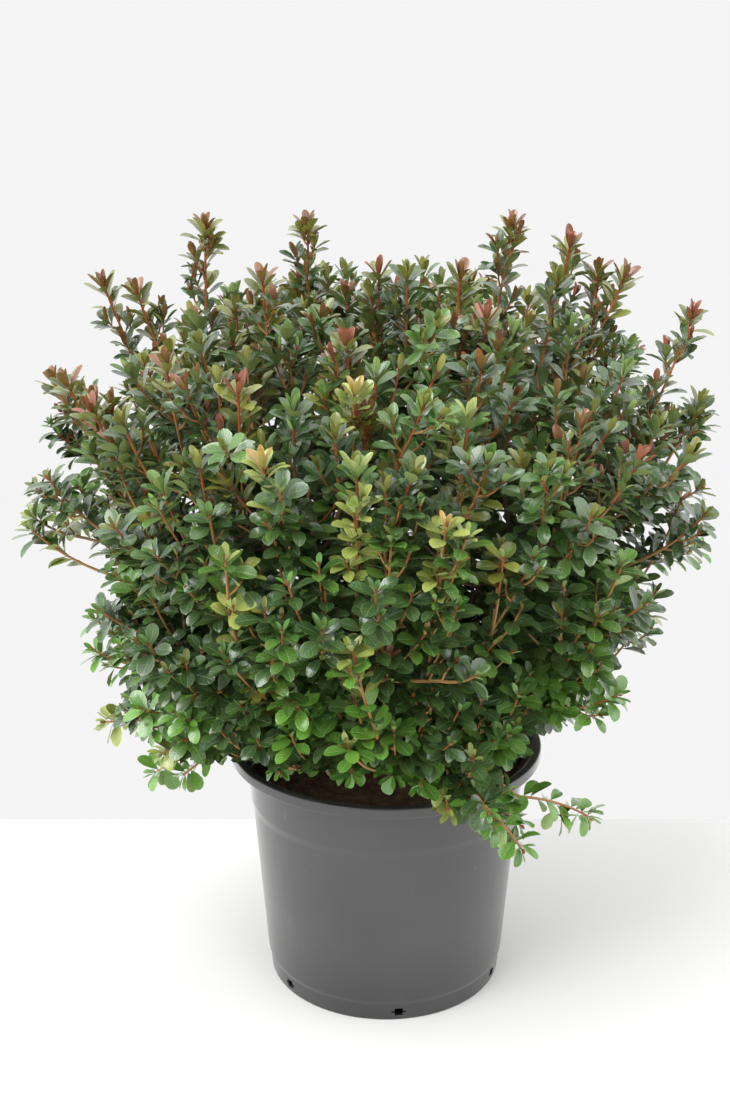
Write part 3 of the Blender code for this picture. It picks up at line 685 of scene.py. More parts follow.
# %% Place the shoots that catch the eye
STYLES = {
    # young leaves, leaves of the rosette, leaves further down, stem leaves' step
    "bronze": ("bronze", "olive", "deep", 0.0095),
    "salmon": ("salmon", "olive", "deep", 0.0095),
    "amber": ("amber", "lime", "mid", 0.0120),
    "olive": ("olive", "deep", "deep", 0.0095),
    "green": ("mid", "deep", "deep", 0.0090),
    "pale": ("lime", "mid", "lime", 0.0130),
    "lime": ("lime", "lime", "fresh", 0.0100),
    "fresh": ("fresh", "fresh", "fresh", 0.0100),
}
NOTED = {
    "tall_left": ("bronze", (-0.183, -0.036, 0.862), (-0.196, 0.029, 0.608)),
    "tall_middle": ("bronze", (-0.084, 0.042, 0.855), (-0.081, 0.109, 0.577)),
    "tall_right": ("bronze", (0.126, -0.016, 0.860), (0.100, 0.036, 0.662)),
    "slim_right": ("salmon", (0.197, 0.053, 0.836), (0.170, 0.089, 0.696)),
    "right_shoulder": ("bronze", (0.254, 0.026, 0.804), (0.205, 0.060, 0.690)),
    "arching_right": ("salmon", (0.311, -0.047, 0.774), (0.249, -0.02, 0.601)),
    "right_arm": ("olive", (0.331, -0.020, 0.662), (0.250, 0.000, 0.580)),
    "pair_left_front": ("bronze", (-0.302, 0.026, 0.795), (-0.240, 0.062, 0.640)),
    "pair_left_back": ("bronze", (-0.268, 0.030, 0.788), (-0.225, 0.050, 0.670)),
    "left_shoulder": ("bronze", (-0.360, 0.015, 0.695), (-0.290, 0.030, 0.575)),
    "left_shoulder_pair": ("bronze", (-0.332, -0.050, 0.705), (-0.285, -0.020, 0.600)),
    "left_arm": ("olive", (-0.400, 0.050, 0.567), (-0.290, 0.050, 0.490)),
    "far_left_sprig": ("pale", (-0.384, -0.060, 0.552), (-0.290, -0.050, 0.490)),
    "low_left_front": ("fresh", (-0.267, -0.07, 0.264), (-0.172, -0.05, 0.293)),
    "low_left_under": ("fresh", (-0.232, -0.09, 0.269), (-0.157, -0.07, 0.307)),
    "low_right": ("fresh", (0.226, -0.13, 0.244), (0.139, -0.145, 0.279)),
    "over_the_rim": ("fresh", (0.146, -0.18, 0.227), (0.091, -0.19, 0.298)),
    "over_the_rim_2": ("fresh", (0.148, -0.165, 0.249), (0.095, -0.17, 0.288)),
    "over_the_rim_3": ("fresh", (0.115, -0.185, 0.259), (0.084, -0.18, 0.293)),
    "over_the_rim_4": ("lime", (0.065, -0.2, 0.274), (0.062, -0.19, 0.315)),
    "right_sprig_3": ("olive", (0.333, -0.02, 0.678), (0.307, -0.01, 0.622)),
    "right_sprig_4": ("lime", (0.296, -0.02, 0.448), (0.247, -0.01, 0.416)),
    "right_shoulder_2": ("bronze", (0.226, 0.05, 0.808), (0.22, 0.06, 0.734)),
    "over_compost_6": ("fresh", (-0.112, -0.17, 0.31), (-0.113, -0.13, 0.332)),
    "over_compost_7": ("mid", (-0.079, -0.165, 0.317), (-0.08, -0.12, 0.332)),
    "over_compost_8": ("fresh", (-0.037, -0.19, 0.315), (-0.037, -0.14, 0.334)),
    "left_sprig": ("pale", (-0.385, -0.05, 0.561), (-0.32, -0.04, 0.529)),
    "left_arch_sprig": ("fresh", (-0.328, -0.03, 0.442), (-0.2, -0.02, 0.356)),
    "right_sprig_2": ("olive", (0.35, 0.0, 0.576), (0.274, 0.0, 0.551)),
    "low_left": ("lime", (-0.32, -0.05, 0.324), (-0.175, -0.02, 0.284)),
    "left_low_sprig": ("fresh", (-0.328, -0.05, 0.408), (-0.236, -0.04, 0.381)),
    "left_shoulder_low": ("green", (-0.369, 0.02, 0.646), (-0.302, 0.03, 0.586)),
    "right_sprig": ("fresh", (0.347, -0.02, 0.516), (0.276, -0.01, 0.493)),
    "over_compost_9": ("fresh", (0.004, -0.2, 0.318), (0.01, -0.15, 0.337)),
    "over_compost_10": ("fresh", (0.028, -0.205, 0.309), (0.045, -0.16, 0.331)),
    "back_left": ("bronze", (-0.150, 0.330, 0.757), (-0.130, 0.260, 0.590)),
    "back_right": ("olive", (0.190, 0.300, 0.737), (0.150, 0.240, 0.590)),
    "back_low": ("green", (0.060, 0.360, 0.440), (0.050, 0.260, 0.400)),
    "coppery_front": ("salmon", (-0.138, -0.233, 0.735), (-0.139, -0.190, 0.600)),
    "amber_front": ("amber", (-0.114, -0.298, 0.684), (-0.087, -0.235, 0.480)),
    "pale_front": ("pale", (-0.030, -0.319, 0.684), (-0.031, -0.277, 0.545)),
    "green_front": ("green", (-0.087, -0.260, 0.724), (-0.088, -0.225, 0.630)),
    "amber_middle": ("amber", (-0.032, -0.258, 0.738), (-0.035, -0.225, 0.640)),
    "copper_middle": ("salmon", (-0.042, -0.197, 0.772), (-0.033, -0.165, 0.680)),
    "olive_middle": ("olive", (-0.050, -0.285, 0.706), (-0.046, -0.250, 0.620)),
    "olive_front_right": ("olive", (0.022, -0.321, 0.679), (-0.016, -0.280, 0.590)),
    "lime_right": ("pale", (0.069, -0.270, 0.720), (0.059, -0.230, 0.600)),
    "amber_right": ("amber", (0.047, -0.337, 0.640), (0.038, -0.295, 0.515)),
    "pale_right": ("pale", (0.067, -0.336, 0.630), (0.042, -0.300, 0.540)),
    "star_middle": ("green", (-0.013, -0.347, 0.582), (-0.017, -0.300, 0.520)),
    "star_left": ("green", (-0.060, -0.340, 0.543), (-0.063, -0.295, 0.490)),
    "lime_low": ("lime", (-0.037, -0.338, 0.528), (-0.013, -0.290, 0.419)),
    "over_compost": ("fresh", (-0.033, -0.190, 0.352), (-0.010, -0.120, 0.350)),
    "over_compost_2": ("fresh", (0.003, -0.205, 0.352), (0.020, -0.130, 0.350)),
    "over_compost_3": ("fresh", (0.055, -0.215, 0.350), (0.050, -0.140, 0.350)),
    "over_compost_4": ("fresh", (0.095, -0.215, 0.350), (0.080, -0.140, 0.350)),
    "over_compost_5": ("mid", (-0.110, -0.150, 0.335), (-0.060, -0.090, 0.340)),
    "star_low_right": ("green", (0.086, -0.322, 0.488), (0.045, -0.290, 0.469)),
    "long_low_right": ("fresh", (0.240, -0.185, 0.412), (0.118, -0.120, 0.366)),
    "star_left_top": ("green", (-0.161, -0.304, 0.639), (-0.157, -0.265, 0.580)),
    "pale_left": ("pale", (-0.146, -0.317, 0.604), (-0.146, -0.280, 0.520)),
    "copper_left": ("salmon", (-0.296, -0.127, 0.693), (-0.200, -0.080, 0.540)),
    "olive_far_left": ("olive", (-0.350, -0.100, 0.618), (-0.295, -0.080, 0.550)),
    "olive_left": ("olive", (-0.255, -0.186, 0.694), (-0.212, -0.150, 0.590)),
    "bronze_left": ("bronze", (-0.212, -0.166, 0.745), (-0.200, -0.135, 0.640)),
    "olive_left_middle": ("olive", (-0.157, -0.210, 0.739), (-0.159, -0.175, 0.630)),
    "red_hearted_left": ("olive", (-0.263, -0.234, 0.606), (-0.220, -0.200, 0.550)),
    "low_star_left": ("green", (-0.290, -0.190, 0.504), (-0.210, -0.150, 0.455)),
    "low_spray_left": ("lime", (-0.243, -0.160, 0.330), (-0.158, -0.120, 0.345)),
    "copper_right": ("salmon", (0.092, -0.158, 0.789), (0.083, -0.120, 0.680)),
    "olive_right": ("olive", (0.321, -0.143, 0.590), (0.245, -0.105, 0.520)),
    "green_right": ("green", (0.250, -0.225, 0.522), (0.166, -0.180, 0.470)),
    "olive_high_right": ("olive", (0.169, -0.074, 0.812), (0.152, -0.045, 0.700)),
    "olive_arm_right": ("olive", (0.295, -0.176, 0.658), (0.209, -0.130, 0.570)),
    "bronze_top_left": ("bronze", (-0.122, -0.117, 0.820), (-0.117, -0.085, 0.710)),
    "copper_top": ("salmon", (-0.010, -0.059, 0.820), (-0.008, -0.035, 0.720)),
    "olive_top": ("olive", (0.018, -0.088, 0.820), (0.017, -0.060, 0.720)),
    "bronze_top_right": ("bronze", (0.070, -0.100, 0.822), (0.064, -0.070, 0.730)),
}
NOTED_ROOT, NOTED_TIP = 0.0018, 0.0012
NOTED_AGE, GROWN_AGE, INNER_AGES = 0.45, 0.55, (0.85, 0.55)
LEAF_BEYOND = 0.014  # the listed place is that of the furthest leaf, this far past the tip
LOW_BELOW = 0.36
KEEP_APART = 0.032
VIEWED_SIDE = Vector((0.0, -1.0, 0.2)).normalized()  # these shoots show their bark to the front

for name, (style, tip, foot) in NOTED.items():
    tip, foot = Vector(tip), Vector(foot)
    young, first, lower, step = STYLES.get(style, ("fresh", style, style, 0.011))
    tip -= (tip - foot).normalized() * LEAF_BEYOND
    low = tip.z < LOW_BELOW
    run = tip - foot
    onward = (run.normalized() + UP * (-0.30 if low else 0.35)).normalized()
    path = bend(foot, tip - onward * run.length * 0.5, tip, 10)
    back = bend(shoot_root(foot, run.normalized(), 0.05), foot - run * 0.2, foot, 3)
    if all(clear(p, NOTED_ROOT) for p in back):
        path = back[:-1] + path
    path = [p for p in path if clear(p, NOTED_ROOT)]
    high = tip.z > SLIM_ABOVE
    wood.append((path, NOTED_ROOT, NOTED_TIP, NOTED_AGE, RED_AGE if high else TAN_AGE))
    shapes = SLIM_SHAPES if high else WIDE_SHAPES
    is_sprig = low or "sprig" in name  # these stand out on bare bark
    near_leaves, far_leaves = (6, 4) if low else (4, 2) if is_sprig else (8, 12)
    rows = rosette(high, young, first, 5, 6, 0.0290)
    rows += down_shoot(first, near_leaves, step * 0.62, 0.0270, 48.0, shapes)
    rows += down_shoot(lower, far_leaves, step * 0.80, 0.0265, 52.0, shapes)
    dress(path, rows, bare_side=None if first == "lime" else VIEWED_SIDE, hanging=low)
    bud(path)
    spur_places = (0.045, 0.065, 0.085, 0.110) if run.length > 0.11 else (0.038, 0.058)
    for down in (0.045,) if is_sprig else spur_places:
        spur(path, down + chance.uniform(-0.008, 0.008), chance.uniform(0.018, 0.032), lower, young)
    for down in (0.016, 0.028) if "tall" in name else ():
        spur(path, down, chance.uniform(0.010, 0.016), first, young, 0.0240)
print("noted shoots:", len(NOTED), "leaves so far:", sum(len(rows) for rows in leaves.values()))

# %% [markdown]
# The rest of the crown is long shoots near the outline, short ones below them, and dark shoots
# deep inside, where only dull leaves last. Low down they stand further apart.

# %% Grow the long, the short and the inner shoots
LONG_SHOOTS, SHORT_SHOOTS, INNER_SHOOTS = 320, 700, 1150
FRONT_AZIMUTH = -95.0
BARE_SHARE = 0.3  # of these shoots show their bark outward
LONG_SHARE, LONG_LENGTH = (0.93, 1.02), (0.10, 0.17)
SHORT_SHARE, SHORT_LENGTH = (0.82, 0.96), (0.05, 0.09)
INNER_SHARE = (0.52, 0.88)
noted_tips = [Vector(tip) for _, tip, _ in NOTED.values()]


def grow(way, far, length, spurs, plan_of):
    """One shoot of the crown that ends at this share of the outline."""
    jitter = Vector((chance.uniform(-1, 1), chance.uniform(-1, 1), chance.uniform(-1, 1)))
    way = (way + jitter * 0.045).normalized()
    tip = HEART + way * (outline(way) * far - 0.012)
    tip.z = min(tip.z, CROWN_TOP - chance.uniform(0.0, 0.035))
    tip.z += chance.uniform(-0.022, 0.022) * smooth((0.42 - tip.z) / 0.08)
    erect = chance.uniform(0.7, 1.6)
    if any((tip - place).length < KEEP_APART for place in noted_tips):
        return 0
    root = shoot_root(tip, (way * 0.75 + UP * 0.55 * erect).normalized(), length)
    path = upturned(root, tip, erect, 8 if length > 0.08 else 5)
    is_open = in_front_opening(tip, 0.016) or in_rim_opening(tip)
    if is_open or not all(clear(p, SHOOT_ROOT) for p in path):
        return 0
    full, young = finishes_at(tip)
    high = is_high(tip)
    wood.append((path, SHOOT_ROOT, SHOOT_TIP, GROWN_AGE, RED_AGE if high else TAN_AGE))
    dress(path, plan_of(full, young, high), bare_side=way if chance.random() < BARE_SHARE else None)
    bud(path)
    for _ in range(spurs):
        spur(path, chance.uniform(0.022, 0.075), chance.uniform(0.018, 0.034), full, young)
    return 1


def long_plan(full, young, high):
    below = "deep" if full == "olive" else full
    angle = 50.0 if high else 62.0
    near, far = (SLIM_SHAPES, PLAIN_SLIM_SHAPES) if high else (WIDE_SHAPES, PLAIN_WIDE_SHAPES)
    return (
        rosette(high, young, full, 4, 6, 0.0285)
        + down_shoot(full, 3, 0.0085, 0.0270, angle, near)
        + down_shoot(below, 7, 0.0105, 0.0265, angle, far)
    )


def short_plan(full, young, high):
    shapes = PLAIN_SLIM_SHAPES if high else PLAIN_WIDE_SHAPES
    rows = rosette(high, young, full, 2, 7, 0.0280, plain=True)
    return rows + down_shoot(full, 3, 0.0095, 0.0265, 60.0, shapes)


def is_kept(way):
    """Low down the shoots thin out, most of all at the sides, where they reach past the rim."""
    front = smooth(1.0 - abs(azimuth_of(way) - FRONT_AZIMUTH) / 65.0)
    least = 0.20 + 0.35 * front
    return chance.random() < least + (1.0 - least) * smooth((elevation_of(way) - 3.0) / 15.0)


grown = 0
for way in spread(LONG_SHOOTS):
    if is_kept(way):
        grown += grow(way, chance.uniform(*LONG_SHARE), chance.uniform(*LONG_LENGTH), 3, long_plan)
for way in spread(SHORT_SHOOTS):
    if is_kept(way):
        grown += grow(way, chance.uniform(*SHORT_SHARE), chance.uniform(*SHORT_LENGTH), 0, short_plan)

for way in spread(INNER_SHOOTS):
    tip = HEART + way * outline(way) * chance.uniform(*INNER_SHARE)
    root = shoot_root(tip, (way + UP * 0.4).normalized(), 0.05)
    path = upturned(root, tip, 1.0, 3)
    is_open = in_front_opening(tip, 0.010) or in_rim_opening(tip) or not is_kept(way)
    if all(clear(p, SHOOT_ROOT) for p in path) and not is_open:
        wood.append((path, SHOOT_ROOT, SHOOT_TIP, *INNER_AGES))
        dress(path, down_shoot("shade", 10, 0.0050, 0.025, 62.0, SHADE_SHAPES))
for branch in branches:
    dress(branch["path"], down_shoot("shade", 9, 0.0090, 0.024, 60.0, SHADE_SHAPES))
print("shoots:", grown, "leaves:", {name: len(rows) for name, rows in leaves.items()})

# %% [markdown]
# ## Leaf shapes
#
# An azalea's leaf is a small oval, broadest past its middle, folded a little along its midrib and
# curled back at the tip. A flat card would need a picture of a leaf; a closed blade of twelve to
# twenty-four faces has the outline in itself and shows its pale underside from below. The shapes
# differ in width, fold and curl, so that no two neighbours look stamped.
#
# The blade's map has u from root to tip and v from edge to edge. A leaf later takes one cell of
# four by four: the first three rows of cells are shades of the upper side, the last the underside.

# %% Build the leaf shapes
FULL_STATIONS = ((0.10, 0.12), (0.34, 0.68), (0.60, 1.0), (0.82, 0.88), (0.95, 0.50))
PLAIN_STATIONS = ((0.15, 0.22), (0.45, 0.88), (0.72, 1.0), (0.93, 0.56))
BUD_STATIONS = ((0.35, 1.0), (0.75, 0.62))
SHADE_STATIONS = ((0.30, 0.76), (0.76, 0.94))
MAP_CELLS, SHADES = 4.0, 12  # cells on each side of the map; shades of the upper side
CELL_MARGIN = 0.05
BAKE_MAP = "OFBake"  # the map that the leaves' and twigs' finishes read


def made_mesh(name, bm):
    mesh = bpy.data.meshes.new(name)
    bm.to_mesh(mesh)
    bm.free()
    return mesh


def leaf_shape(name, width, fold, curl, stations, thick=0.014):
    """A closed blade of unit length along X, its upper side towards Z."""

    def spine(t):
        return Vector((t - curl * curl * t**3 / 3.0, 0.0, -curl * t * t / 2.0))

    bm = bmesh.new()
    under = bm.faces.layers.bool.new("under")
    uv = bm.loops.layers.uv.new(BAKE_MAP)
    places = {}

    def vert(point, u, v):
        made = bm.verts.new(point)
        places[made] = (u, v)
        return made

    root = vert(spine(0.0), 0.0, 0.5)
    tip = vert(spine(1.0), 1.0, 0.5)
    rows = []
    for t, share in stations:
        half = width * share / 2.0
        lift = Vector((0.0, 0.0, half * math.tan(math.radians(fold))))
        middle = spine(t)
        left = vert(middle + Vector((0.0, half, 0.0)) + lift, t, 1.0)
        right = vert(middle - Vector((0.0, half, 0.0)) + lift, t, 0.0)
        above = vert(middle + Vector((0.0, 0.0, thick * 0.3)), t, 0.5)
        below = vert(middle - Vector((0.0, 0.0, thick * 0.7)), t, 0.5)
        rows.append((left, right, above, below))

    def face(corners, is_under):
        made = bm.faces.new(corners)
        made[under] = is_under
        for loop in made.loops:
            loop[uv].uv = places[loop.vert]

    for middle, is_under in ((2, False), (3, True)):
        for edge in (0, 1):
            strip = [(root,), *[(row[edge], row[middle]) for row in rows], (tip,)]
            for a, b in zip(strip, strip[1:]):
                corners = [*a, *reversed(b)]
                if (edge == 0) == is_under:
                    corners.reverse()
                face(corners, is_under)
    return made_mesh(name, bm)


leaf_shapes = bpy.data.collections.new("leaf_shapes")
SHAPE_SIZES = (
    # width, fold in degrees, curl, stations and, for a bud, thickness
    (0.53, 14.0, 0.35, FULL_STATIONS),
    (0.49, 20.0, 0.50, FULL_STATIONS),
    (0.58, 10.0, 0.20, FULL_STATIONS),
    (0.44, 22.0, 0.40, FULL_STATIONS),
    (0.39, 16.0, 0.60, FULL_STATIONS),
    (0.47, 12.0, 0.10, FULL_STATIONS),
    (0.30, 28.0, 0.10, FULL_STATIONS),
    (0.38, 22.0, 0.30, FULL_STATIONS),
    (0.33, 26.0, -0.10, FULL_STATIONS),
    (0.53, 13.0, 0.30, PLAIN_STATIONS),
    (0.47, 20.0, 0.50, PLAIN_STATIONS),
    (0.44, 16.0, 0.45, PLAIN_STATIONS),
    (0.39, 24.0, 0.20, PLAIN_STATIONS),
    (0.54, 16.0, 0.35, SHADE_STATIONS),
    (0.60, 10.0, 0.20, SHADE_STATIONS),
    (0.46, 0.0, 0.0, BUD_STATIONS, 0.44),
)
for i, sizes in enumerate(SHAPE_SIZES):
    shape_mesh = leaf_shape(f"leaf_{i:02}", *sizes)
    leaf_shapes.objects.link(bpy.data.objects.new(f"leaf_{i:02}", shape_mesh))

# %% [markdown]
# ## Hanging the leaves
#
# Thirty thousand separate objects would choke any scene. A Geometry Nodes tree instead reads a
# cloud of points, each with a turn, a size, a shape and a shade, and sets a leaf on every one.
# The result is realised and kept as a plain mesh, one for each finish and side of the crown.

# %% Run a Geometry Nodes tree once and keep its mesh


def new_tree(name, sockets):
    """An empty Geometry Nodes tree with these named inputs, and its input node's wires."""
    tree = bpy.data.node_groups.new(name, "GeometryNodeTree")
    tree.interface.new_socket("Geometry", in_out="OUTPUT", socket_type="NodeSocketGeometry")
    for socket, kind in {"Geometry": "NodeSocketGeometry", **sockets}.items():
        tree.interface.new_socket(socket, in_out="INPUT", socket_type=kind)
    graph = Graph(tree)
    return graph, graph.node("NodeGroupInput")


def end_tree(graph, geometry, material):
    realised = graph.node("GeometryNodeRealizeInstances", {}, {"Geometry": geometry})
    values = {"Geometry": realised, "Material": material}
    painted = graph.node("GeometryNodeSetMaterial", {}, values)
    ending = graph.tree.nodes.new("NodeGroupOutput")
    graph.tree.links.new(painted.socket, ending.inputs[0])


def attribute(graph, name, kind="FLOAT"):
    return graph.node("GeometryNodeInputNamedAttribute", {"data_type": kind}, {"Name": name})


def instanced(graph, shapes, points, index, turn, size):
    """The shape of this index on every point."""
    values = {"Collection": shapes, "Separate Children": True, "Reset Children": True}
    children = graph.node("GeometryNodeCollectionInfo", {}, values)
    values = {"Points": points, "Instance": children, "Pick Instance": True}
    values.update({"Instance Index": index, "Rotation": turn, "Scale": size})
    return graph.node("GeometryNodeInstanceOnPoints", {}, values)


def with_map(graph, geometry, u, v):
    """The geometry, with this place on the bake map at every corner."""
    place = graph.node("ShaderNodeCombineXYZ", {}, {0: u, 1: v})
    settings = {"data_type": "FLOAT2", "domain": "CORNER"}
    values = {"Geometry": geometry, "Name": BAKE_MAP, "Value": place}
    return graph.node("GeometryNodeStoreNamedAttribute", settings, values)


def applied(obj):
    """The object with its modifiers worked into its mesh."""
    depsgraph = bpy.context.evaluated_depsgraph_get()
    mesh = bpy.data.meshes.new_from_object(obj.evaluated_get(depsgraph), depsgraph=depsgraph)
    obj.modifiers.clear()
    obj.data = mesh
    return obj


def shade(obj, sharp_from):
    """Smooth faces, with edges from this angle up left sharp."""
    obj.data.shade_smooth()
    obj.data.set_sharp_from_angle(angle=math.radians(sharp_from))


def triangles(obj):
    return sum(len(p.vertices) - 2 for p in obj.data.polygons)


def run_tree(name, mesh, graph, values):
    """The tree's result on the mesh, as a new object with a plain mesh."""
    obj = add_object(name, mesh)
    modifier = obj.modifiers.new(graph.tree.name, "NODES")
    modifier.node_group = graph.tree
    for item in graph.tree.interface.items_tree:
        if item.in_out == "INPUT" and item.name in values:
            modifier[item.identifier] = values[item.name]
    applied(obj).data.name = name
    return obj


def points_mesh(name, points, edges=(), **columns):
    """Points, with one attribute for each column of values."""
    mesh = bpy.data.meshes.new(name)
    mesh.from_pydata([tuple(p) for p in points], edges, [])
    for column, values in columns.items():
        number = "INT" if isinstance(values[0], int) else "FLOAT"
        kind = "FLOAT_VECTOR" if np.ndim(values) == 2 else number
        layer = mesh.attributes.new(column, kind, "POINT")
        field = "vector" if kind == "FLOAT_VECTOR" else "value"
        layer.data.foreach_set(field, np.ravel(values))
    return mesh


# %% Build the tree that hangs leaves
leaf_tree, given = new_tree(
    "hang_leaves", {"Shapes": "NodeSocketCollection", "Material": "NodeSocketMaterial"}
)
hung = instanced(
    leaf_tree,
    given.out("Shapes"),
    given.out("Geometry"),
    attribute(leaf_tree, "shape", "INT"),
    attribute(leaf_tree, "turn", "FLOAT_VECTOR"),
    attribute(leaf_tree, "size"),
)
realised = leaf_tree.node("GeometryNodeRealizeInstances", {}, {"Geometry": hung})
u, v, _ = attribute(leaf_tree, BAKE_MAP, "FLOAT_VECTOR").split()
cell, is_under = attribute(leaf_tree, "cell", "INT"), attribute(leaf_tree, "under", "BOOLEAN")
column, row = cell.math("MODULO", cell, MAP_CELLS), (cell / MAP_CELLS).floor()
row = row * (1.0 - is_under) + is_under * (MAP_CELLS - 1.0)
u = (u * (1.0 - 2.0 * CELL_MARGIN) + CELL_MARGIN + column) / MAP_CELLS
v = (v * (1.0 - 2.0 * CELL_MARGIN) + CELL_MARGIN + row) / MAP_CELLS
mapped = with_map(leaf_tree, realised, u, v)
end_tree(leaf_tree, mapped, given.out("Material"))
print("nodes in the leaves' tree:", len(leaf_tree.tree.nodes))

# %% [markdown]
# ## Leaf finishes
#
# The upper side is a dark green that shines like wax. Its midrib is lighter, its rim is lighter
# partly as a pale margin and partly as painted sheen, the side veins are sunk, and a faint painted
# sheen is streaked along them. The underside is pale and dull. All of it is drawn on the leaf's own
# map, so a leaf carries the same markings wherever it hangs. Shoots of different age and place differ
# in colour, and each colour is a finish of its own: deep and mid green for last year's leaves, fresh
# green low down, and olive, bronze and salmon for the young leaves that the sun has reached.

# %% Make the leaf finishes


def leaf_finish(name, dark, light, rib_and_sheen, under, stalk, reach_up, gloss=0.33, wax=0.75):
    """A finish between its darkest and lightest shade; reach_up is how far the stalk's colour runs."""
    level = 0.25 + wax * 0.3
    finish = Finish(name, coat_weight=wax, coat_roughness=0.18, specular_ior_level=level)
    u, v, _ = finish.node("ShaderNodeUVMap", {"uv_map": BAKE_MAP}).split()
    u, v = u * MAP_CELLS, v * MAP_CELLS
    is_under = v.above(MAP_CELLS - 1.0)
    shade = (u.floor() + v.floor() * MAP_CELLS) / (SHADES - 1.0)
    along = (u.fraction() - CELL_MARGIN) / (1.0 - 2.0 * CELL_MARGIN)
    across = abs((v.fraction() - 0.5) / (0.5 - CELL_MARGIN))
    midrib = across.ramp(0.12, 0.03)
    rim = across.ramp(0.82, 0.98)
    stripe = abs((along * 6.5 - across * 1.6).fraction() - 0.5)
    vein_and_sheen = stripe.ramp(0.20, 0.02) * across.ramp(1.0, 0.6)
    blade = finish.mix(shade, dark, light)
    # Painted sheen: the upper side is lightened in streaks along the side veins.
    blade = finish.mix(vein_and_sheen * 0.15, blade, rib_and_sheen)
    # The midrib's lighter colour is its own; the rim's lighter colour is partly a pale margin and
    # partly painted sheen.
    blade = finish.mix(midrib * 0.50 + rim * 0.50, blade, rib_and_sheen)
    back = finish.mix(midrib * 0.6 + vein_and_sheen * 0.25, under, tuple(c * 1.4 for c in under))
    colour = finish.mix(is_under, blade, back)
    if stalk:
        colour = finish.mix(along.ramp(reach_up, reach_up * 0.3) * 0.85, colour, stalk)
    finish.set(base_color=colour)
    finish.set(roughness=is_under * 0.25 + (1.0 - rim * 0.3) * gloss + (shade - 0.5) * 0.08)
    above = 0.6 - midrib * 0.5 - vein_and_sheen * 0.25 - rim * 0.2
    below = midrib * 0.6 + vein_and_sheen * 0.2
    finish.bump(above * (1.0 - is_under) + below * is_under, 0.0010, 0.8)
    return finish.material


LEAF_COLOURS = {
    # darkest and lightest upper side, midrib and rim with the painted sheen on rim and veins, underside
    "shade": ((0.024, 0.052, 0.011), (0.052, 0.100, 0.020), (0.08, 0.12, 0.04), (0.10, 0.16, 0.05)),
    "deep": ((0.017, 0.046, 0.012), (0.044, 0.094, 0.023), (0.13, 0.21, 0.07), (0.21, 0.27, 0.08)),
    "mid": ((0.034, 0.098, 0.013), (0.076, 0.165, 0.022), (0.17, 0.30, 0.08), (0.24, 0.34, 0.10)),
    "fresh": ((0.062, 0.180, 0.018), (0.120, 0.290, 0.032), (0.23, 0.38, 0.10), (0.29, 0.42, 0.13)),
    "lime": ((0.18, 0.235, 0.042), (0.30, 0.35, 0.078), (0.38, 0.42, 0.15), (0.36, 0.43, 0.15)),
    "olive": ((0.062, 0.092, 0.011), (0.180, 0.200, 0.025), (0.26, 0.25, 0.08), (0.25, 0.25, 0.05)),
    "amber": ((0.26, 0.170, 0.028), (0.40, 0.26, 0.055), (0.46, 0.34, 0.10), (0.42, 0.33, 0.09)),
    "bronze": ((0.110, 0.038, 0.013), (0.230, 0.085, 0.024), (0.28, 0.14, 0.05), (0.215, 0.115, 0.030)),
    "salmon": ((0.16, 0.038, 0.016), (0.28, 0.082, 0.034), (0.36, 0.15, 0.08), (0.31, 0.105, 0.048)),
    "bud": ((0.26, 0.062, 0.020), (0.37, 0.18, 0.055), (0.40, 0.19, 0.07), (0.30, 0.09, 0.03)),
}
RED_STALK, ORANGE_STALK = (0.27, 0.052, 0.020), (0.34, 0.110, 0.036)
TAN_STALK = (0.38, 0.200, 0.072)
STALKS = {
    # colour of the leaf's foot, and how far up the blade it runs
    "deep": (ORANGE_STALK, 0.14),
    "mid": (ORANGE_STALK, 0.12),
    "fresh": (TAN_STALK, 0.12),
    "lime": (TAN_STALK, 0.16),
    "olive": (RED_STALK, 0.34),
    "bronze": (RED_STALK, 0.45),
    "salmon": (RED_STALK, 0.40),
    "amber": (ORANGE_STALK, 0.34),
}
LEAF_FINISHES = {}
for name, colours in LEAF_COLOURS.items():
    surface = {"gloss": 0.55, "wax": 0.0} if name in ("shade", "bud") else {}
    stalk = STALKS.get(name, (None, 0.0))
    LEAF_FINISHES[name] = leaf_finish("leaf_" + name, *colours, *stalk, **surface)
print("leaf finishes:", *LEAF_FINISHES)

# %% Hang them, finish by finish
MOST_LEAVES = 4500  # in one piece, which keeps it under 200,000 triangles
SHARP_FROM = 70.0  # degrees between two faces of a leaf or a twig
leaf_pieces = []
for finish_name, rows in leaves.items():
    rows.sort(key=lambda row: azimuth_of(row[1] - HEART))
    parts = -(-len(rows) // MOST_LEAVES)
    for part in range(parts):
        some = rows[part * len(rows) // parts : (part + 1) * len(rows) // parts]
        turns = []
        for _, root, ahead, up, _, _ in some:
            turn = Matrix((ahead, up.cross(ahead), up)).transposed()
            turns.append(tuple(turn.to_euler("XYZ")))
        cloud = points_mesh(
            "cloud",
            [row[1] for row in some],
            turn=np.array(turns),
            size=[row[4] for row in some],
            shape=[row[5] for row in some],
            cell=[chance.randrange(SHADES) for _ in some],
        )
        name = f"leaves_{finish_name}" + (f"_{part + 1}" if parts > 1 else "")
        inputs = {"Shapes": leaf_shapes, "Material": LEAF_FINISHES[finish_name]}
        piece = run_tree(name, cloud, leaf_tree, inputs)
        shade(piece, SHARP_FROM)
        masses = sorted({row[0] + "_foliage" for row in some})
        leaf_pieces.append((piece, masses))
        print(name, "leaves:", len(some), "triangles:", triangles(piece))
for shape in list(leaf_shapes.objects):
    bpy.data.objects.remove(shape)

# %% [markdown]
# ## Twigs
#
# Young azalea wood is red at the tip, orange-brown along last year's length and grey-brown below.
# A skin modifier would swell at forks; a curve swept with its own thickness stays slim. The tree
# turns each chain of points into a curve and sweeps a five-sided ring along it. Its map holds the
# wood's age in u and the way round it in v, and the finish reads only those.

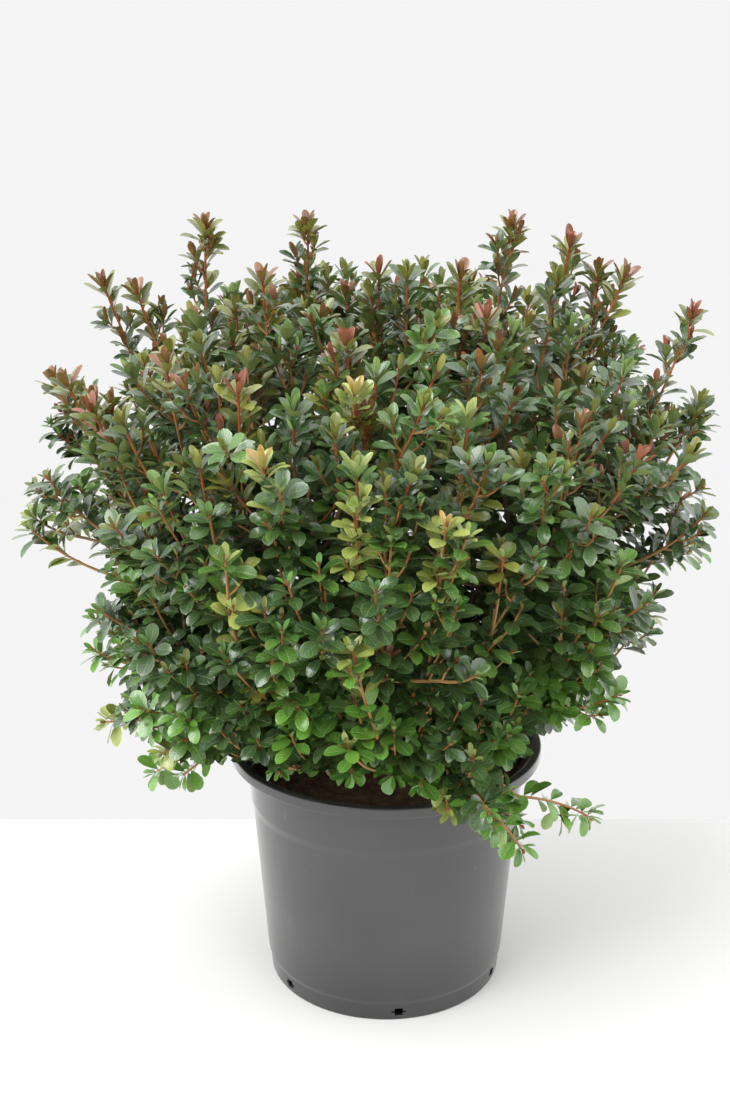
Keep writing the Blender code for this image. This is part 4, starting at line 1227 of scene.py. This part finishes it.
# %% Sweep the twigs
TWIG_SIDES, MAP_MARGIN = 5, 0.03
twig_tree, given = new_tree(
    "sweep_twigs", {"Sides": "NodeSocketInt", "Material": "NodeSocketMaterial"}
)
curves = twig_tree.node("GeometryNodeMeshToCurve", {}, {"Mesh": given.out("Geometry")})
inputs = {"Resolution": given.out("Sides"), "Radius": 1.0}
ring = twig_tree.node("GeometryNodeCurvePrimitiveCircle", {}, inputs)
around = twig_tree.node("GeometryNodeSplineParameter").out("Factor")
inputs = {"Geometry": ring, "Name": "around", "Value": abs(around * 2.0 - 1.0)}
on_points = {"data_type": "FLOAT", "domain": "POINT"}
ring = twig_tree.node("GeometryNodeStoreNamedAttribute", on_points, inputs)
inputs = {"Curve": curves, "Profile Curve": ring, "Fill Caps": True}
inputs["Scale"] = attribute(twig_tree, "thickness")
swept = twig_tree.node("GeometryNodeCurveToMesh", {}, inputs)
u = attribute(twig_tree, "age") * (1.0 - 2.0 * MAP_MARGIN) + MAP_MARGIN
v = attribute(twig_tree, "around") * (1.0 - 2.0 * MAP_MARGIN) + MAP_MARGIN
mapped = with_map(twig_tree, swept, u, v)
end_tree(twig_tree, mapped, given.out("Material"))

twig_finish = Finish("twig_bark", roughness=0.55, specular_ior_level=0.35)
twig_map = twig_finish.node("ShaderNodeUVMap", {"uv_map": BAKE_MAP})
age, _, _ = twig_map.split()
grain = twig_finish.noise(twig_finish.scaled(twig_map, (9.0, 2.0, 1.0)), 6.0)
TWIG_STOPS = (
    # the youngest and the oldest bark, then the shades between
    (0.0, (0.27, 0.046, 0.017)),
    (1.0, (0.085, 0.056, 0.036)),
    (0.07, (0.30, 0.072, 0.023)),
    (0.16, (0.33, 0.140, 0.044)),
    (0.40, (0.34, 0.200, 0.075)),
    (0.68, (0.195, 0.130, 0.070)),
)
twig_finish.set(base_color=twig_finish.ramp_of(age + (grain - 0.5) * 0.12, TWIG_STOPS))
twig_finish.bump(grain, 0.0003, 0.6)

twig_points, twig_edges, thickness, ages = [], [], [], []
for path, first, last, old, fresh in wood:
    start = len(twig_points)
    for i, point in enumerate(path):
        share = i / (len(path) - 1)
        twig_points.append(point)
        thickness.append(first + (last - first) * share)
        ages.append(old + (fresh - old) * share)
    twig_edges += [(start + i, start + i + 1) for i in range(len(path) - 1)]
lines = points_mesh("lines", twig_points, twig_edges, thickness=thickness, age=ages)
inputs = {"Sides": TWIG_SIDES, "Material": twig_finish.material}
twigs = run_tree("twigs", lines, twig_tree, inputs)
shade(twigs, SHARP_FROM)
print("twigs:", len(wood), "triangles:", triangles(twigs))

# %% [markdown]
# ## Pot
#
# A blow-moulded nursery pot: black, satin, with a rim that stands out from the wall, a collar, a
# stepped foot and drain slots. The solid has flat sides all round, which would show at the rim.
# The profile is turned again with rounded corners and 160 sides, and the slots are cut as in the
# solid.

# %% Turn the pot's profile
POT_SIDES = 160
RIM_DEPTH, RIM_OVERHANG, RIM_WIDTH = 0.012, 0.0170, 0.009
COLLAR_DEPTH, COLLAR_STEP = 0.066, 0.0018
FOOT_RADIUS, FOOT_HEIGHT, FOOT_STEP = 0.1330, 0.025, 0.0016
WALL, FLOOR = 0.0028, 0.0035
STEP_SLOPE = 0.0045  # the collar and the foot swell softly, as blown plastic does
SLOTS, SLOT_WIDTH, SLOT_HEIGHT, SLOT_FOOT, SLOT_AZIMUTH = 6, 0.016, 0.009, 0.006, -24.0


def wall_radius(height):
    top = RIM_RADIUS - RIM_OVERHANG
    slope = (top - COLLAR_STEP - FOOT_RADIUS - FOOT_STEP) / POT_HEIGHT
    radius = FOOT_RADIUS + FOOT_STEP + slope * height
    if height < FOOT_HEIGHT:
        return radius - FOOT_STEP
    return radius + COLLAR_STEP * (height > POT_HEIGHT - COLLAR_DEPTH)


def turned(name, profile, sides):
    """A closed profile of (radius, height), from axis to axis, turned about Z."""
    turns = [math.tau * i / sides for i in range(sides)]
    corners = [(0.0, 0.0, profile[0][1])]
    for radius, height in profile[1:-1]:
        corners += [(radius * math.cos(t), radius * math.sin(t), height) for t in turns]
    corners.append((0.0, 0.0, profile[-1][1]))
    last, faces = 1 + (len(profile) - 3) * sides, []
    for k in range(sides):
        n = (k + 1) % sides
        faces.append((0, 1 + n, 1 + k))
        for start in range(1, last, sides):
            faces.append((start + k, start + n, start + sides + n, start + sides + k))
        faces.append((last + k, last + n, len(corners) - 1))
    mesh = bpy.data.meshes.new(name)
    mesh.from_pydata(corners, [], faces)
    return add_object(name, mesh)


def rounded(corners, radius, steps=4):
    """The polyline with its inner corners rounded."""
    points = [Vector(corners[0])]
    for before, corner, after in zip(corners, corners[1:], corners[2:]):
        before, corner, after = Vector(before), Vector(corner), Vector(after)
        near = min(radius, (before - corner).length * 0.45, (after - corner).length * 0.45)
        a = corner + (before - corner).normalized() * near
        b = corner + (after - corner).normalized() * near
        points += bend(a, corner, b, steps)
    return points + [Vector(corners[-1])]


under_rim, collar = POT_HEIGHT - RIM_DEPTH, POT_HEIGHT - COLLAR_DEPTH
INNER_SLOPE = (wall_radius(under_rim) - FOOT_RADIUS) / (under_rim - FLOOR)
pot_profile = rounded(
    (
        (0.0, 0.0),
        (FOOT_RADIUS, 0.0),
        (wall_radius(FOOT_HEIGHT - STEP_SLOPE), FOOT_HEIGHT - STEP_SLOPE),
        (wall_radius(FOOT_HEIGHT), FOOT_HEIGHT),
        (wall_radius(collar - STEP_SLOPE), collar - STEP_SLOPE),
        (wall_radius(collar + STEP_SLOPE), collar + STEP_SLOPE),
        (wall_radius(under_rim), under_rim),
        (RIM_RADIUS, under_rim),
        (RIM_RADIUS, POT_HEIGHT),
        (RIM_RADIUS - RIM_WIDTH, POT_HEIGHT),
        (wall_radius(under_rim) - WALL, under_rim),
        (FOOT_RADIUS - WALL, FLOOR),
        (0.0, FLOOR),
    ),
    0.0022,
)
pot = turned("pot_shell", pot_profile, POT_SIDES)
cutters = []
for i in range(SLOTS):
    bm = bmesh.new()
    block = Matrix.Diagonal((WALL * 5, SLOT_WIDTH, SLOT_HEIGHT, 1.0))
    bmesh.ops.create_cube(bm, size=1.0, matrix=block)
    uprights = [e for e in bm.edges if abs((e.verts[0].co - e.verts[1].co).normalized().x) > 0.9]
    bmesh.ops.bevel(bm, geom=uprights, offset=0.0035, segments=4, affect="EDGES")
    cutter = add_object("cutter", made_mesh("cutter", bm))
    turn = Matrix.Rotation(math.radians(SLOT_AZIMUTH + i * 360.0 / SLOTS), 4, "Z")
    middle = (FOOT_RADIUS - WALL / 2, 0.0, SLOT_FOOT + SLOT_HEIGHT / 2)
    cutter.data.transform(turn @ Matrix.Translation(middle))
    cut = pot.modifiers.new("slot", "BOOLEAN")
    cut.operation, cut.solver, cut.object = "DIFFERENCE", "EXACT", cutter
    cutters.append(cutter)
applied(pot)
for cutter in cutters:
    bpy.data.objects.remove(cutter)
shade(pot, 40.0)
print("pot faces:", len(pot.data.polygons))

# %% [markdown]
# Moulded plastic is never an even black. It is a shade greyer where hands and benches have rubbed
# it, a fine vertical drag shows in its gloss, and compost dust clings to the inside above the
# fill. Each of these is a mask on the pot's own coordinates.

# %% Finish the pot
SKIN, DUST_ABOVE = 0.0004, 0.2  # the dust lies on the wall's inner face, above this height
plastic = Finish("satin_plastic", specular_ior_level=0.55, coat_weight=0.68, coat_roughness=0.14)
where = plastic.place()
x, y, z = where.split()
drag = plastic.noise(plastic.scaled(where, (60.0, 60.0, 3.0)), 1.0, 4.0)
clouds = plastic.noise(where, 9.0, 5.0, 0.6)
scratch_place = plastic.scaled(where, (220.0, 35.0, 90.0), turn=(0.5, 0.3, 0.9))
scratches = plastic.noise(scratch_place, 1.0, 2.0).ramp(0.70, 0.78)
scratches = scratches * plastic.noise(where, 14.0).ramp(0.48, 0.62)
specks = plastic.noise(where, 260.0, 2.0).ramp(0.74, 0.80)
level_place = plastic.node("ShaderNodeCombineXYZ", {}, {0: x, 1: y})
length = {"operation": "LENGTH"}
radius = plastic.node("ShaderNodeVectorMath", length, {0: level_place}, output=1)
inner_radius = z * INNER_SLOPE + FOOT_RADIUS - WALL + SKIN
inside = (radius - inner_radius).ramp(SKIN, 0.0) * z.above(DUST_ABOVE)
dust = inside * plastic.noise(where, 70.0, 5.0, 0.7).ramp(0.38, 0.66) * z.ramp(0.279, 0.262)
low_dust = z.ramp(0.06, 0.0) * clouds.ramp(0.45, 0.7) * 0.35
body = plastic.mix(clouds.ramp(0.35, 0.7), (0.027, 0.027, 0.028), (0.035, 0.034, 0.035))
body = plastic.mix(scratches * 0.5 + specks * 0.25, body, (0.16, 0.16, 0.16))
# Painted shade: the body darkens towards the foot, as if in shadow there; the same mask also roughens
# the foot.
painted_foot_shade = z.ramp(0.11, 0.0)
body = plastic.mix(painted_foot_shade * 0.8, body, (0.010, 0.010, 0.011))
body = plastic.mix(low_dust, body, (0.06, 0.057, 0.050))
plastic.set(base_color=plastic.mix(dust * 0.8, body, (0.060, 0.036, 0.020)))
worn = clouds * 0.10 + drag * 0.06 + scratches * 0.2 + dust * 0.3 + painted_foot_shade * 0.12
plastic.set(roughness=0.28 + worn)
plastic.bump(drag * 0.5 + clouds * 0.6 - scratches * 0.5, 0.0005, 0.5)
plastic.paint(pot)
print("nodes in the plastic:", len(plastic.tree.nodes))

# %% [markdown]
# ## Compost
#
# The fill is dark peat: a lumpy crust with crumbs, threads of root and splinters of bark on it.
# The crust is the solid's own profile turned finely and displaced by noise. Crumbs and threads
# are small meshes that a Geometry Nodes tree scatters on the crust with a fixed seed.

# %% Turn and roughen the crust
COMPOST_EDGE, COMPOST_LEVEL_RADIUS = 0.254, 0.050
CRUST_RINGS, CRUST_SIDES = 64, 150
CRUST_FOOT, CRUST_GAP = 0.200, 0.0008  # how far down it goes, and its gap from the wall
crust_radius = FOOT_RADIUS - WALL + INNER_SLOPE * (COMPOST_EDGE - FLOOR) - CRUST_GAP
crust_profile = [
    (0.0, CRUST_FOOT),
    (crust_radius - 0.006, CRUST_FOOT),
    (crust_radius, COMPOST_EDGE - 0.004),
]
for i in range(CRUST_RINGS + 1):
    radius_here = crust_radius * (1.0 - i / CRUST_RINGS)
    fall = max(0.0, (radius_here - COMPOST_LEVEL_RADIUS) / (crust_radius - COMPOST_LEVEL_RADIUS))
    crust_profile.append((radius_here, COMPOST_TOP + (COMPOST_EDGE - COMPOST_TOP) * fall))
crust = turned("compost_crust", crust_profile, CRUST_SIDES)
for vert in crust.data.vertices:
    if vert.co.z > 0.245:
        away = math.hypot(vert.co.x, vert.co.y)
        lumps = noise.fractal(vert.co * 45.0, 0.9, 2.1, 4) * 0.0030
        lumps += noise.noise(vert.co * 260.0) * 0.0012
        vert.co.z += lumps * smooth((crust_radius - away) / 0.004) + 0.001
crust.data.shade_smooth()

peat = Finish("peat", specular_ior_level=0.2)
where = peat.place()
lumps, fibres = peat.noise(where, 90.0, 6.0, 0.7), peat.noise(where, 420.0, 3.0)
dark_peat = peat.mix(lumps.ramp(0.3, 0.7), (0.058, 0.035, 0.022), (0.175, 0.105, 0.062))
peat_colour = peat.mix(fibres.ramp(0.62, 0.75) * 0.6, dark_peat, (0.30, 0.195, 0.115))
peat.set(base_color=peat_colour, roughness=0.92 + lumps * 0.05)
peat.bump(lumps * 0.7 + fibres * 0.3, 0.002, 0.9)
peat.paint(crust)
print("crust faces:", len(crust.data.polygons))

# %% Scatter crumbs, threads and splinters
LITTER = (
    ("crumb", 0.0022),
    ("crumb", 0.0030),
    ("crumb", 0.0016),
    ("thread", 0.0090),
    ("thread", 0.0060),
    ("splinter", 0.0050),
)
LITTER_ABOVE, LITTER_DENSITY = 0.248, 26000.0
LITTER_SIZE = 0.25  # of the shapes' own sizes: the peat is sifted fine
litter_shapes = bpy.data.collections.new("litter_shapes")


def litter_shape(name, kind, size):
    bm = bmesh.new()
    bmesh.ops.create_icosphere(bm, subdivisions=1, radius=1.0)
    seed = Vector((len(litter_shapes.objects) * 7.3, 1.0, 2.0))
    for vert in bm.verts:
        vert.co *= 1.0 + noise.noise(vert.co * 1.3 + seed) * 0.5
        x, y, z = vert.co
        if kind == "thread":
            vert.co = (x, y * 0.07 + x**2 * 0.25, z * 0.07 + 0.05)
        if kind == "splinter":
            vert.co = (x, y * 0.35, z * 0.15)
        vert.co *= size
    litter_shapes.objects.link(bpy.data.objects.new(name, made_mesh(name, bm)))


for i, (kind, size) in enumerate(LITTER):
    litter_shape(f"litter_{i}_{kind}", kind, size)

sockets = {"Shapes": "Collection", "Density": "Float", "Seed": "Int", "Material": "Material"}
sockets = {socket: "NodeSocket" + kind for socket, kind in sockets.items()}
litter_tree, given = new_tree("scatter_litter", sockets)
_, _, height = litter_tree.node("GeometryNodeInputPosition").split()
_, _, facing = litter_tree.node("GeometryNodeInputNormal").split()
inputs = {"Mesh": given.out("Geometry")}
inputs["Selection"] = height.above(LITTER_ABOVE) * facing.above(0.3)
inputs.update({name: given.out(name) for name in ("Density", "Seed")})
scatter = litter_tree.node("GeometryNodeDistributePointsOnFaces", {}, inputs)


def random_value(kind, inputs, output=0):
    return litter_tree.node("FunctionNodeRandomValue", {"data_type": kind}, inputs, output)


turn = {"Min": (-0.4, -0.4, 0.0), "Max": (0.4, 0.4, math.tau), "Seed": 3}
strewn = instanced(
    litter_tree,
    given.out("Shapes"),
    scatter,
    random_value("INT", {4: 0, 5: len(LITTER) - 1, "Seed": 9}, output=2),
    random_value("FLOAT_VECTOR", turn),
    random_value("FLOAT", {2: 0.5, 3: 1.25, "Seed": 5}, output=1) * LITTER_SIZE,
)
end_tree(litter_tree, strewn, given.out("Material"))

litter_finish = Finish("peat_litter", roughness=0.9, specular_ior_level=0.2)
where = litter_finish.place()
LITTER_STOPS = (
    (0.36, (0.040, 0.024, 0.014)),
    (0.70, (0.260, 0.160, 0.090)),
    (0.54, (0.110, 0.064, 0.036)),
)
tint = litter_finish.ramp_of(litter_finish.noise(where, 160.0, 2.0), LITTER_STOPS)
litter_finish.set(base_color=tint)
litter_finish.bump(litter_finish.noise(where, 700.0), 0.0008, 0.8)
inputs = {"Shapes": litter_shapes, "Density": LITTER_DENSITY, "Seed": 4}
inputs["Material"] = litter_finish.material
litter = run_tree("compost_litter", crust.data.copy(), litter_tree, inputs)
litter.data.shade_smooth()
for shape in list(litter_shapes.objects):
    bpy.data.objects.remove(shape)
print("litter faces:", len(litter.data.polygons))

# %% [markdown]
# ## Stem and boughs
#
# The old wood is one living body: a flared foot, a knotty head, and boughs that swell where they
# leave it. Separate tubes would meet in creases. Rough tubes and lumps are therefore fused by a
# voxel remesh, which rounds the forks, and the bark's relief is then pushed out along the normals.

# %% Fuse the old wood and raise its bark
STEM_FOOT = Vector((HEAD_CENTRE.x, HEAD_CENTRE.y, COMPOST_TOP + 0.0003))
STEM_PROFILE = ((0.031, 0.0), (0.0235, 0.004), (0.0185, 0.010), (0.0165, 0.022))
OLD_WOOD_VOXEL = 0.0015
BOUGH_FOOT_RADII, BOUGH_RADIUS, BOUGH_TIP_RADIUS = [0.0085, 0.0056], 0.0046, 0.0027


def tube(bm, points, radii, sides):
    """A closed tube along the points, with a radius at each."""
    across, rings = None, []
    for i, (point, radius) in enumerate(zip(points, radii)):
        along = (points[min(i + 1, len(points) - 1)] - points[max(i - 1, 0)]).normalized()
        across = across or along.orthogonal()
        across = (across - along * across.dot(along)).normalized()
        other = along.cross(across)
        turns = [math.tau * k / sides for k in range(sides)]
        spokes = [across * math.cos(t) + other * math.sin(t) for t in turns]
        rings.append([bm.verts.new(point + spoke * radius) for spoke in spokes])
    for lower, upper in zip(rings, rings[1:]):
        for k in range(sides):
            n = (k + 1) % sides
            bm.faces.new((lower[k], lower[n], upper[n], upper[k]))
    bm.faces.new(rings[0][::-1])
    bm.faces.new(rings[-1])


bm = bmesh.new()
stock = [STEM_FOOT + UP * h for _, h in STEM_PROFILE] + [HEAD_CENTRE + UP * 0.006]
tube(bm, stock, [r for r, _ in STEM_PROFILE] + [0.0150], 24)
for bough in boughs:
    path = [HEAD_CENTRE] + bough["path"] + bough["stem"][1:2]
    taper = BOUGH_TIP_RADIUS - BOUGH_RADIUS
    radii = BOUGH_FOOT_RADII + [BOUGH_RADIUS + taper * i / 12 for i in range(13)]
    tube(bm, path, radii[: len(path)], 12)
bmesh.ops.recalc_face_normals(bm, faces=bm.faces)
old_wood = add_object("old_wood", made_mesh("old_wood", bm))
fuse = old_wood.modifiers.new("fuse", "REMESH")
fuse.mode, fuse.voxel_size = "VOXEL", OLD_WOOD_VOXEL
applied(old_wood)
normals = [v.normal.copy() for v in old_wood.data.vertices]
for vert, normal in zip(old_wood.data.vertices, normals):
    stretched = Vector((vert.co.x, vert.co.y, vert.co.z * 0.45))
    ridges = abs(noise.noise(stretched * 190.0)) * 2.0 - 0.6
    depth = 0.0009 if vert.co.z < 0.30 else 0.0004
    lift = noise.fractal(vert.co * 120.0, 1.0, 2.0, 3) * depth * 0.7 - ridges * depth * 0.5
    vert.co += normal * lift
    vert.co.z = max(vert.co.z, STEM_FOOT.z)
old_wood.data.shade_smooth()

bark = Finish("old_bark", specular_ior_level=0.25)
where = bark.place()
inputs = {"Vector": bark.scaled(where, (1.0, 1.0, 0.4)), "Scale": 260.0}
flakes = bark.node("ShaderNodeTexVoronoi", {}, inputs)
patches = bark.noise(where, 60.0, 5.0, 0.65)
bark_base = bark.mix(patches.ramp(0.35, 0.65), (0.060, 0.036, 0.021), (0.150, 0.085, 0.045))
bark_colour = bark.mix(flakes.ramp(0.5, 0.15) * 0.5, bark_base, (0.028, 0.018, 0.012))
bark.set(base_color=bark_colour, roughness=0.86)
bark.bump(flakes * 0.7 + patches * 0.3, 0.0012, 0.8)
bark.paint(old_wood)
print("old wood faces:", len(old_wood.data.polygons))

# %% [markdown]
# ## Light and floor
#
# The plant stands on a plain white table in soft studio light. A softbox high on the left puts
# the sheen on the upper leaves, a wide window lights it from the right, and a low fill from in
# front is kept out of mirrorings. The surround is dimmer in front and brighter above and on the
# left, as in a room; lamps alone would leave the pot's plastic with nothing to mirror.

# %% Light the plant
FLOOR_SIDE, FLOOR_FRONT, FLOOR_BACK = 6.0, -8.0, 0.34
floor_mesh = bpy.data.meshes.new("floor")
corners = [(-FLOOR_SIDE, FLOOR_FRONT, 0), (FLOOR_SIDE, FLOOR_FRONT, 0)]
corners += [(FLOOR_SIDE, FLOOR_BACK, 0), (-FLOOR_SIDE, FLOOR_BACK, 0)]
floor_mesh.from_pydata(corners, [], [(0, 1, 2, 3)])
floor = add_object("floor", floor_mesh)
floor_finish = Finish("pale_floor", roughness=0.9, specular_ior_level=0.1)
grain = floor_finish.noise(floor_finish.place(), 3.0)
floor_finish.set(base_color=floor_finish.mix(grain, (0.54, 0.54, 0.537), (0.555, 0.555, 0.55)))
floor_finish.paint(floor)

world = bpy.data.worlds.new("surround")
bpy.context.scene.world = world
world.use_nodes = True
BACKGROUND, SURROUND = 0.91, 1.28  # the wall as seen, and the light that the room gives
FRONT_DIM, CEILING, WINDOW = 0.66, 0.35, 0.30  # less from in front, more from above and left
sky = Graph(world.node_tree)
seen = sky.node("ShaderNodeLightPath").out("Is Camera Ray")
x, y, z = sky.node("ShaderNodeTexCoord").out("Generated").split()
ahead = (z * 0.30 - y * 0.95).ramp(0.15, 0.80)
above = z.ramp(0.20, 0.90)
aside = (x * -1.0).ramp(0.10, 0.90)
around = (1.0 + above * CEILING + aside * WINDOW - ahead * FRONT_DIM) * SURROUND
strength = seen * (BACKGROUND - around) + around
backdrop = world.node_tree.nodes["Background"]
backdrop.inputs["Color"].default_value = (1.0, 1.0, 1.0, 1.0)
world.node_tree.links.new(strength.socket, backdrop.inputs["Strength"])


def soft_sun(name, way, energy, width, mirrored=True):
    """A lamp so far and so wide that its light is even: width is the angle that it fills."""
    lamp = add_object(name, bpy.data.lights.new(name, "SUN"))
    lamp.data.energy, lamp.data.angle = energy, math.radians(width)
    lamp.visible_glossy = mirrored
    lamp.rotation_euler = Vector(way).to_track_quat("Z", "Y").to_euler()


soft_sun("softbox", (-0.80, -0.68, 1.35), 2.9, 40.0)
soft_sun("right_window", (1.0, -0.60, 0.90), 1.7, 64.0)
soft_sun("front_fill", (-0.85, -0.85, 0.20), 1.6, 60.0, mirrored=False)
bpy.context.scene.view_settings.view_transform = "Standard"
print("lamps:", len(bpy.data.lights))

# %% [markdown]
# ## Joining the pieces to the solids
#
# The plant has no joints, so every piece rides on the one body. Each piece also says which solids
# it stands for; those are then hidden, and stay behind as collision shapes.

# %% Say what each piece stands for
bough_nodes = [bough["name"] + "_bough" for bough in boughs]
foliage_nodes = [bough["name"] + "_foliage" for bough in boughs]
joined = [
    (pot, "pot", ["pot"]),
    (crust, "compost", ["compost"]),
    (litter, "compost", ["compost"]),
    (old_wood, "bark", ["stem", *bough_nodes]),
    (twigs, "bark", foliage_nodes),
]
joined += [(piece, "foliage", masses) for piece, masses in leaf_pieces]
for piece, slot, nodes in joined:
    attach(piece, "root")
    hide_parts(*nodes)
print("pieces:", len(joined))
